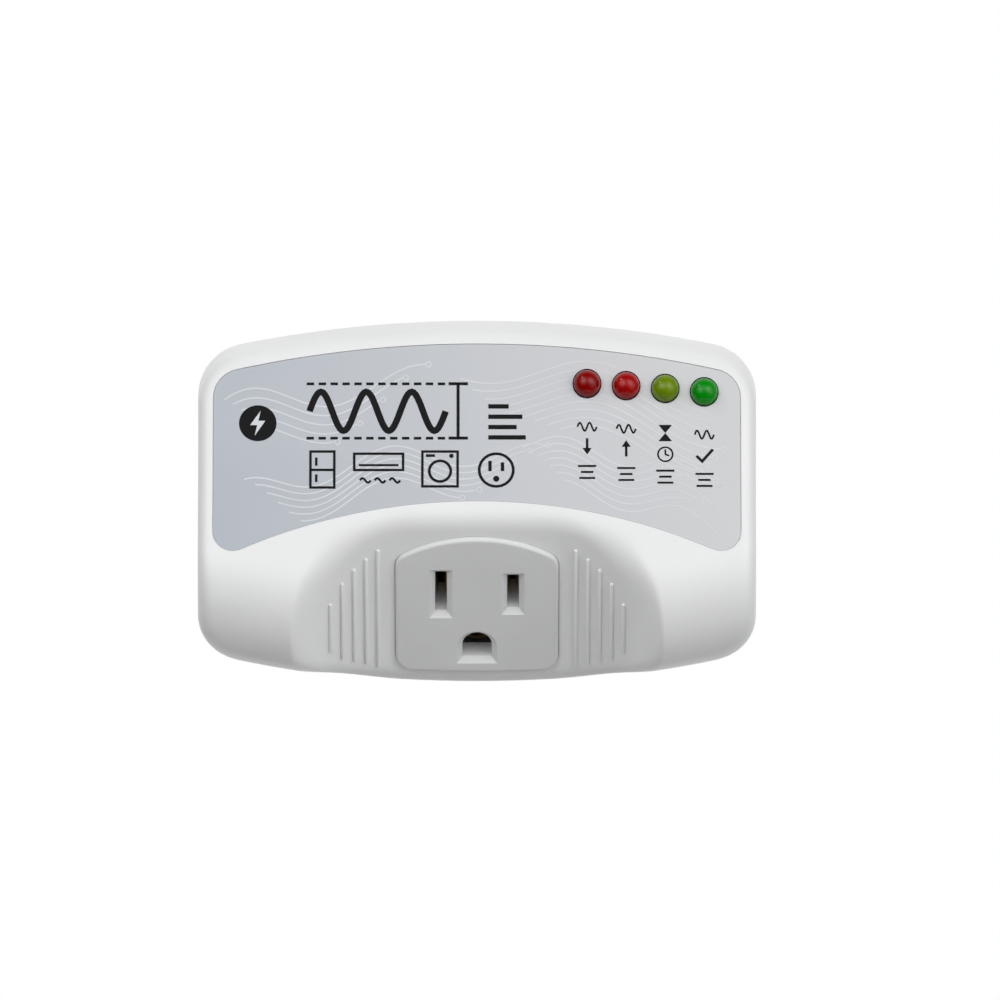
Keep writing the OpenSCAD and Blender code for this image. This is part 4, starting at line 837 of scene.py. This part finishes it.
# %% Lamps
lamps = (("lamp_low_voltage", "lamp_dark_red", (0.25, 0.001, 0.001)),
         ("lamp_high_voltage", "lamp_red", (0.36, 0.002, 0.002)),
         ("lamp_wait", "lamp_yellow_green", (0.15, 0.25, 0.001)),
         ("lamp_normal", "lamp_green", (0.001, 0.27, 0.003)))
t = np.linspace(0, np.pi/2, 16)
lens_r, lead_t, brighter, board_front = lamp_r - 0.1, 0.5, 1.25, 11.0
dome = np.vstack([[[axis_r, 0], [2.75, 0], [2.9, 0.15], [2.9, 0.85], [2.75, 1.0], [lens_r, 1.0]],
                  np.stack([lens_r*np.cos(t), lamp_l - lens_r + lens_r*np.sin(t)], -1)[:-1],
                  [[axis_r, lamp_l]]])
cup = [(axis_r, 4.1), (0.9, 4.1), (1.15, 5.2), (1.0, 5.2), (0.55, 4.5), (axis_r, 4.45)]

def lead(x, w, low, high):
    """Flat strip of lead frame about a station, between two heights over the lamp's foot."""
    return prism(box_ring(w, lead_t) + [x, 0], low, high)

for (name, slot, colour), *middle in zip(lamps, lamp_x, lamp_up, lamp_base):
    spot = lambda p: wall(np.asarray(p) + middle)
    f = Finish(name + "_epoxy", Specular_IOR_Level=0.28, IOR=1.5, Transmission_Weight=0.15)
    cloud = f.noise(1.5)
    f.feed(Base_Color=f.mix(colour, tuple(brighter*c for c in colour), cloud.between(0.4, 0.7)),
           Roughness=0.02 + 0.03*cloud)
    body = piece(name + "_body", turned(dome, 56).at(spot), f.material, crease=60)
    foot = board_front - middle[2]
    leads = [lead(-1.27, 0.5, foot, 3.6), lead(1.27, 0.5, foot, 4.4), turned(cup, 32),
             lead(-0.75, 1.5, 3.4, 4.1), lead(0.9, 1.0, 4.3, 4.9)]
    piece(name + "_leads", gather(leads).at(spot), plated_steel)
    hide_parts(name)
measure(body)

# %% [markdown]
# ## The rear cover
# One loft runs up the outside of this tapered tray, over the step and the lip that enters
# the front cover, and down its inside. Screw bosses and board posts are joined on, and the
# screw wells, the blade slots and the pin's hole are cut.

# %% Rear cover
rear_taper, rear_round, shadow_gap, lip_t, lip_l = 2.6, 1.2, 0.15, 1.1, 1.8
board_out, board_t, blade_t, blade_w, blade_l, pin_r = 9.4, 1.6, 1.5, 6.35, 16.6, 2.38
boss_r, well_r, well_l, screw_hole_r, post_r, post_hole_r = 4.6, 3.0, 8.5, 1.5, 2.4, 1.05
levels = [(rear_taper - rear_round*math.sin(v), rear_round*(1 - math.cos(v)))
          for v in np.linspace(0, np.pi/2, 9)]
in_cover, lip_in = wall_t + shadow_gap, wall_t + shadow_gap + lip_t
levels += [(shadow_gap + 0.35, parting_out - 0.25), (shadow_gap + 0.6, parting_out),
           (in_cover, parting_out), (in_cover + 0.2, parting_out + lip_l),
           (lip_in, parting_out + lip_l), (lip_in, parting_out - 2*lip_l),
           (wall_t + 0.9, parting_out - 2*lip_l - 0.6), (rear_taper + wall_t - 0.84, wall_t)]
rear_form = loft([lifted(panel(inset, *box_sizes), out) for inset, out in levels])
rear = piece("rear_shell", rear_form.at(wall), housing_back)

screw_places = [(0, top_up - 7.8)]
screw_places += [(side*(half_w - 9.5), bottom_up + 12.2) for side in (-1, 1)]
post_places = [(11.4 - half_w, top_up - 9.4), (0, top_up - 16.4)]
post_places += [(side*(half_w - 18.3), bottom_up + 8.3) for side in (-1, 1)]
blade_places = [(side*slot_gap/2, ground_drop) for side in (-1, 1)]

def pegs(places, r, low, high):
    """Round bars of one radius at several places, between two distances from the wall."""
    return bars_at(circle((0, 0), r, 40), places, low, high)

carve(rear, (pegs(screw_places, boss_r, wall_t/2, parting_out)
             + pegs(post_places, post_r, wall_t/2, board_out)).at(wall), "UNION")
carve(rear, pegs(screw_places, well_r, -1, well_l).at(wall))
holes = [pegs(screw_places, screw_hole_r, 8, parting_out + 1),
         pegs(post_places, post_hole_r, board_out - 3.4, board_out + 1),
         pegs([(0, 0)], pin_r + 0.35, -1, wall_t + 1),
         bars_at(box_ring(blade_t + 0.1, blade_w + 0.1), blade_places, -1, wall_t + 1)]
carve(rear, gather(holes).at(wall))
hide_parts("rear_cover")
measure(rear)

# %% [markdown]
# ## Blades and ground pin
# The blades are stamped strip: the outline of the solid, with its sharp edges rolled by a
# tenth of a millimetre. The pin is turned, with a ball end.

# %% Blades and pin
blade_hole_r, flange_t, edge_roll, pin_l = 1.6, 1.2, 0.12, 20.6
flange_out, tail_out, tip = wall_t + flange_t, 9.0, 0.28*blade_w

# Tip with cut corners, shoulders behind the cover and a narrower tail, as (out, height)
w, shoulder, tail = blade_w/2, 4.3, 2.2
half = [(-blade_l, w - tip), (tip - blade_l, w), (wall_t, w), (wall_t, shoulder),
        (flange_out, shoulder), (flange_out, tail), (tail_out, tail)]
blade_line = np.array([(out, -high) for out, high in half] + half[::-1])

def strip(outline, thick):
    """Prism of an outline, turned inside out because its place mirrors it."""
    form = prism(outline, -thick/2, thick/2)
    return Form(form.points, [face[::-1] for face in form.faces])

hole = circle((-0.72*blade_l, 0), blade_hole_r, 40)
for name, side in (("line_blade", 1), ("neutral_blade", -1)):
    flat = lambda p: wall(p[:, ::-1] + [side*slot_gap/2, ground_drop, 0])
    blade = piece(name + "_strip", strip(blade_line, blade_t).at(flat), blade_brass)
    carve(blade, strip(hole, 4).at(flat))
    edge = blade.modifiers.new("rolled edge", "BEVEL")
    edge.width, edge.segments = edge_roll*MM, 2
    edge.limit_method, edge.angle_limit = "ANGLE", math.radians(40)
    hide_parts(name)
t = np.linspace(0, np.pi/2, 20)
ball = np.stack([pin_r*np.sin(t), pin_r - pin_l - pin_r*np.cos(t)], -1)
ball[0, 0] = axis_r
collar_r, flange_r, stub_r, stub_out = pin_r + 0.3, 3.8, 1.7, 6.9
shank = [[pin_r, 0], [collar_r, 0], [collar_r, wall_t], [flange_r, wall_t],
         [flange_r, flange_out], [stub_r, flange_out], [stub_r, stub_out - 0.2],
         [stub_r - 0.2, stub_out], [axis_r, stub_out]]
pin = piece("ground_pin_turned", turned(np.vstack([ball, shank]), 64).at(wall), blade_brass)
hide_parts("ground_pin")
measure(pin)

# %% [markdown]
# ## Screws
# Every size of screw is drawn once: a domed head with a cross recess, and a shank whose
# thread is a helix.

# %% Screws
def screw_form(r, head_r, head_t, length, pitch):
    """Rings from the head to the tip. On the shank the radius is
    r - depth*|2 frac(z/pitch - a/2pi) - 1|, so the crest climbs by one pitch in each turn."""
    a, t = full_turn(40), np.linspace(0, np.pi/2, 7)
    dome_t = 0.45*head_t
    head = np.stack([head_r - dome_t*(1 - np.sin(t)), -head_t + dome_t*(1 - np.cos(t))], -1)
    head = np.vstack([[[axis_r, -head_t]], head, [[head_r, 0]]])
    z = np.arange(0.05, length - 0.8*r, pitch/8)
    thread = np.abs(2*((z[:, None]/pitch - a/(2*np.pi)) % 1) - 1)
    r_all = np.vstack([head[:, :1] + 0*a, r - 0.22*r*thread, [0.6*r + 0*a], [axis_r + 0*a]])
    z_all = np.concatenate([head[:, 1], z, [length - 0.3*r, length]])
    return loft(np.stack([r_all*np.cos(a), r_all*np.sin(a), z_all[:, None] + 0*a], -1))

def cross_bar(w, h, head_t):
    """A bar of the recess, which narrows towards its bottom."""
    return loft([lifted(box_ring(w, h), -head_t - 0.2),
                 lifted(box_ring(0.62*w, 0.8*h), -0.35*head_t)])

def screws(name, node, places, frame_of, r, head_r, head_t, length, pitch):
    """One piece with a screw at each place. Each bar of the recess is cut from all heads."""
    def copies(form):
        return gather([form.at(lambda p: p + place) for place in places]).at(frame_of)
    made = piece(name, copies(screw_form(r, head_r, head_t, length, pitch)), screw_steel)
    for w, h in ((1.15*head_r, 0.28*head_r), (0.28*head_r, 1.15*head_r)):
        carve(made, copies(cross_bar(w, h, head_t)))
    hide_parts(node)
    measure(made)

def inward(out):
    """Places for screws that go in from the front, at a distance from the wall."""
    return lambda p: wall(np.asarray(p)*[1, -1, -1] + [0, 0, out])

# The last five numbers: shank radius, head radius, head height, length and pitch
screws("screws_housing", "housing_screws", [(x, up, well_l) for x, up in screw_places],
       wall, 1.4, 2.7, 1.8, 14.0, 0.9)
screws("screws_board", "board_screws", [(x, -up, 0) for x, up in post_places],
       inward(board_out + board_t), 1.0, 1.9, 1.0, 4.5, 0.6)
screws("screws_socket", "socket_screws", [(s*14.0, 6.0, -wall_t - 9.0) for s in (-1, 1)],
       socket, 1.1, 2.2, 1.1, 7.0, 0.7)
screws("screws_carrier", "carrier_screws", [(s*11.0, -1.4, 0) for s in (-1, 1)],
       inward(wall_t + 3.0), 0.9, 1.8, 0.9, 4.1, 0.6)

# %% [markdown]
# ## Finishes of the inner parts
# The electronics lie sealed inside, and each part has its own finish all the same: solder
# mask with tracks, wound copper, dipped and sleeved parts with their bands and leads.

# %% Inner finishes
def band(value, low, high):
    """1 between two limits and 0 outside."""
    return (value > low)*(value < high)

def board_finish():
    """Green mask over tracks, which show where the sine of a bent coordinate is high."""
    f = Finish("board_laminate", Specular_IOR_Level=0.55)
    x, _, z = f.split(f.place)
    bend = f.noise(9.0, 1.0)
    stripe = ((z + 0.004*bend)*2200.0).sin()
    other = ((x + 0.004*bend)*1700.0).sin()
    where = f.noise(16.0, 0.0)
    track = ((stripe > 0.55)*(where > 0.5) + (other > 0.6)*(where < 0.44)).least(1.0)
    mask = f.mix((0.012, 0.12, 0.05), (0.03, 0.24, 0.10), track)
    f.feed(Base_Color=f.mix(mask, (0.02, 0.09, 0.04), bend.between(0.4, 0.8)*0.5),
           Roughness=0.28 + 0.1*f.noise(0.6))
    f.bump(track, 0.03)
    return f.material

def coil_finish():
    """Enamelled wire: the height of a row of round turns along the core. The base colour is darker
    in the grooves between the turns: painted shade.
    """
    f = Finish("coil_copper", Metallic=0.85, Coat_Weight=0.5, Coat_Roughness=0.1)
    along = f.split(f.place)[1]
    turn = abs((along*6500.0 + 0.4*f.noise(3.0)).sin())
    # Painted shade: the copper's colour darkens towards the groove between each two turns.
    f.feed(Base_Color=f.mix((0.36, 0.10, 0.03), (0.66, 0.24, 0.09), turn),
           Roughness=0.38 - 0.12*turn)
    f.bump(turn, 0.06)
    return f.material

def banded(name, colour, axis=0, bands=(), rough=0.4, gloss=0.0, metal_past=None):
    """A coated part with bands between places along one axis of its own coordinates, in mm.
    Nearer to the wall than metal_past its bare leads show."""
    f = Finish(name, Specular_IOR_Level=0.5, Coat_Weight=gloss, Coat_Roughness=0.08)
    parts = f.split(f.place)
    cloud = f.noise(2.5)
    tone = f.mix(colour, tuple(0.75*c for c in colour), cloud.between(0.35, 0.8))
    for low, high, paint in bands:
        tone = f.mix(tone, paint, band(parts[axis], low*MM, high*MM))
    if metal_past:
        bare = parts[1] > -metal_past*MM
        tone = f.mix(tone, (0.66, 0.67, 0.68), bare)
        f.feed(Metallic=bare)
    f.feed(Base_Color=tone, Roughness=rough + 0.1*cloud)
    f.bump(f.noise(0.8, 2.0), 0.006)
    return f.material

brown, black, red = (0.16, 0.06, 0.03), (0.01, 0.01, 0.01), (0.55, 0.02, 0.02)
gold, silver, pale = (0.6, 0.42, 0.1), (0.6, 0.6, 0.6), (0.5, 0.52, 0.56)
stripes = [(16.3, 16.9, gold), (17.7, 18.2, red), (18.9, 19.4, black), (20.1, 20.7, brown)]
coat = {
    "relay_cover": moulded("relay_case", (0.015, 0.07, 0.24), rough=0.28, grain=0.5, gloss=0.6),
    "circuit_board": board_finish(),
    "relay_bobbin": moulded("bobbin_plastic", (0.74, 0.72, 0.64), rough=0.42, grain=0.3),
    "relay_coil": coil_finish(),
    "varistor": banded("varistor_coat", (0.02, 0.10, 0.40), rough=0.22, gloss=0.6),
    "film_capacitor": banded("film_case", (0.72, 0.47, 0.06), rough=0.3, gloss=0.3),
    "smoothing_capacitor": banded("can_sleeve", (0.012, 0.018, 0.06), 0, [(26.3, 30, pale)],
                                  rough=0.25, gloss=0.5),
    "rectifier_diodes": banded("diode_body", (0.02, 0.02, 0.02), 0, [(20.1, 20.9, silver)],
                               rough=0.35),
    "control_chip": banded("chip_body", (0.018, 0.018, 0.02), rough=0.45, metal_past=11.62),
    "resistors": banded("resistor_coat", (0.60, 0.45, 0.26), 2, stripes, rough=0.35),
    "driver_transistor": banded("transistor_case", (0.02, 0.02, 0.02), metal_past=13.7),
    "line_wire": banded("wire_line", (0.015, 0.015, 0.016)),
    "neutral_wire": banded("wire_neutral", (0.78, 0.78, 0.76)),
    "load_wire": banded("wire_load", (0.50, 0.02, 0.015))}
shared = {"receptacle_base blade_carrier": base_plastic,
          "relay_base lamp_spacers": component_black,
          "relay_core relay_yoke relay_armature relay_pins": plated_steel,
          "line_contact neutral_contact ground_contact ground_strap relay_contact_leaf "
          "relay_hinge_leaf relay_fixed_contact": contact_brass}
coat.update((name, finish) for names, finish in shared.items() for name in names.split())
for name, finish in coat.items():
    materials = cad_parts[name].data.materials
    materials.clear()
    materials.append(finish)
print("finished nodes:", len(coat), "materials:", len(bpy.data.materials))
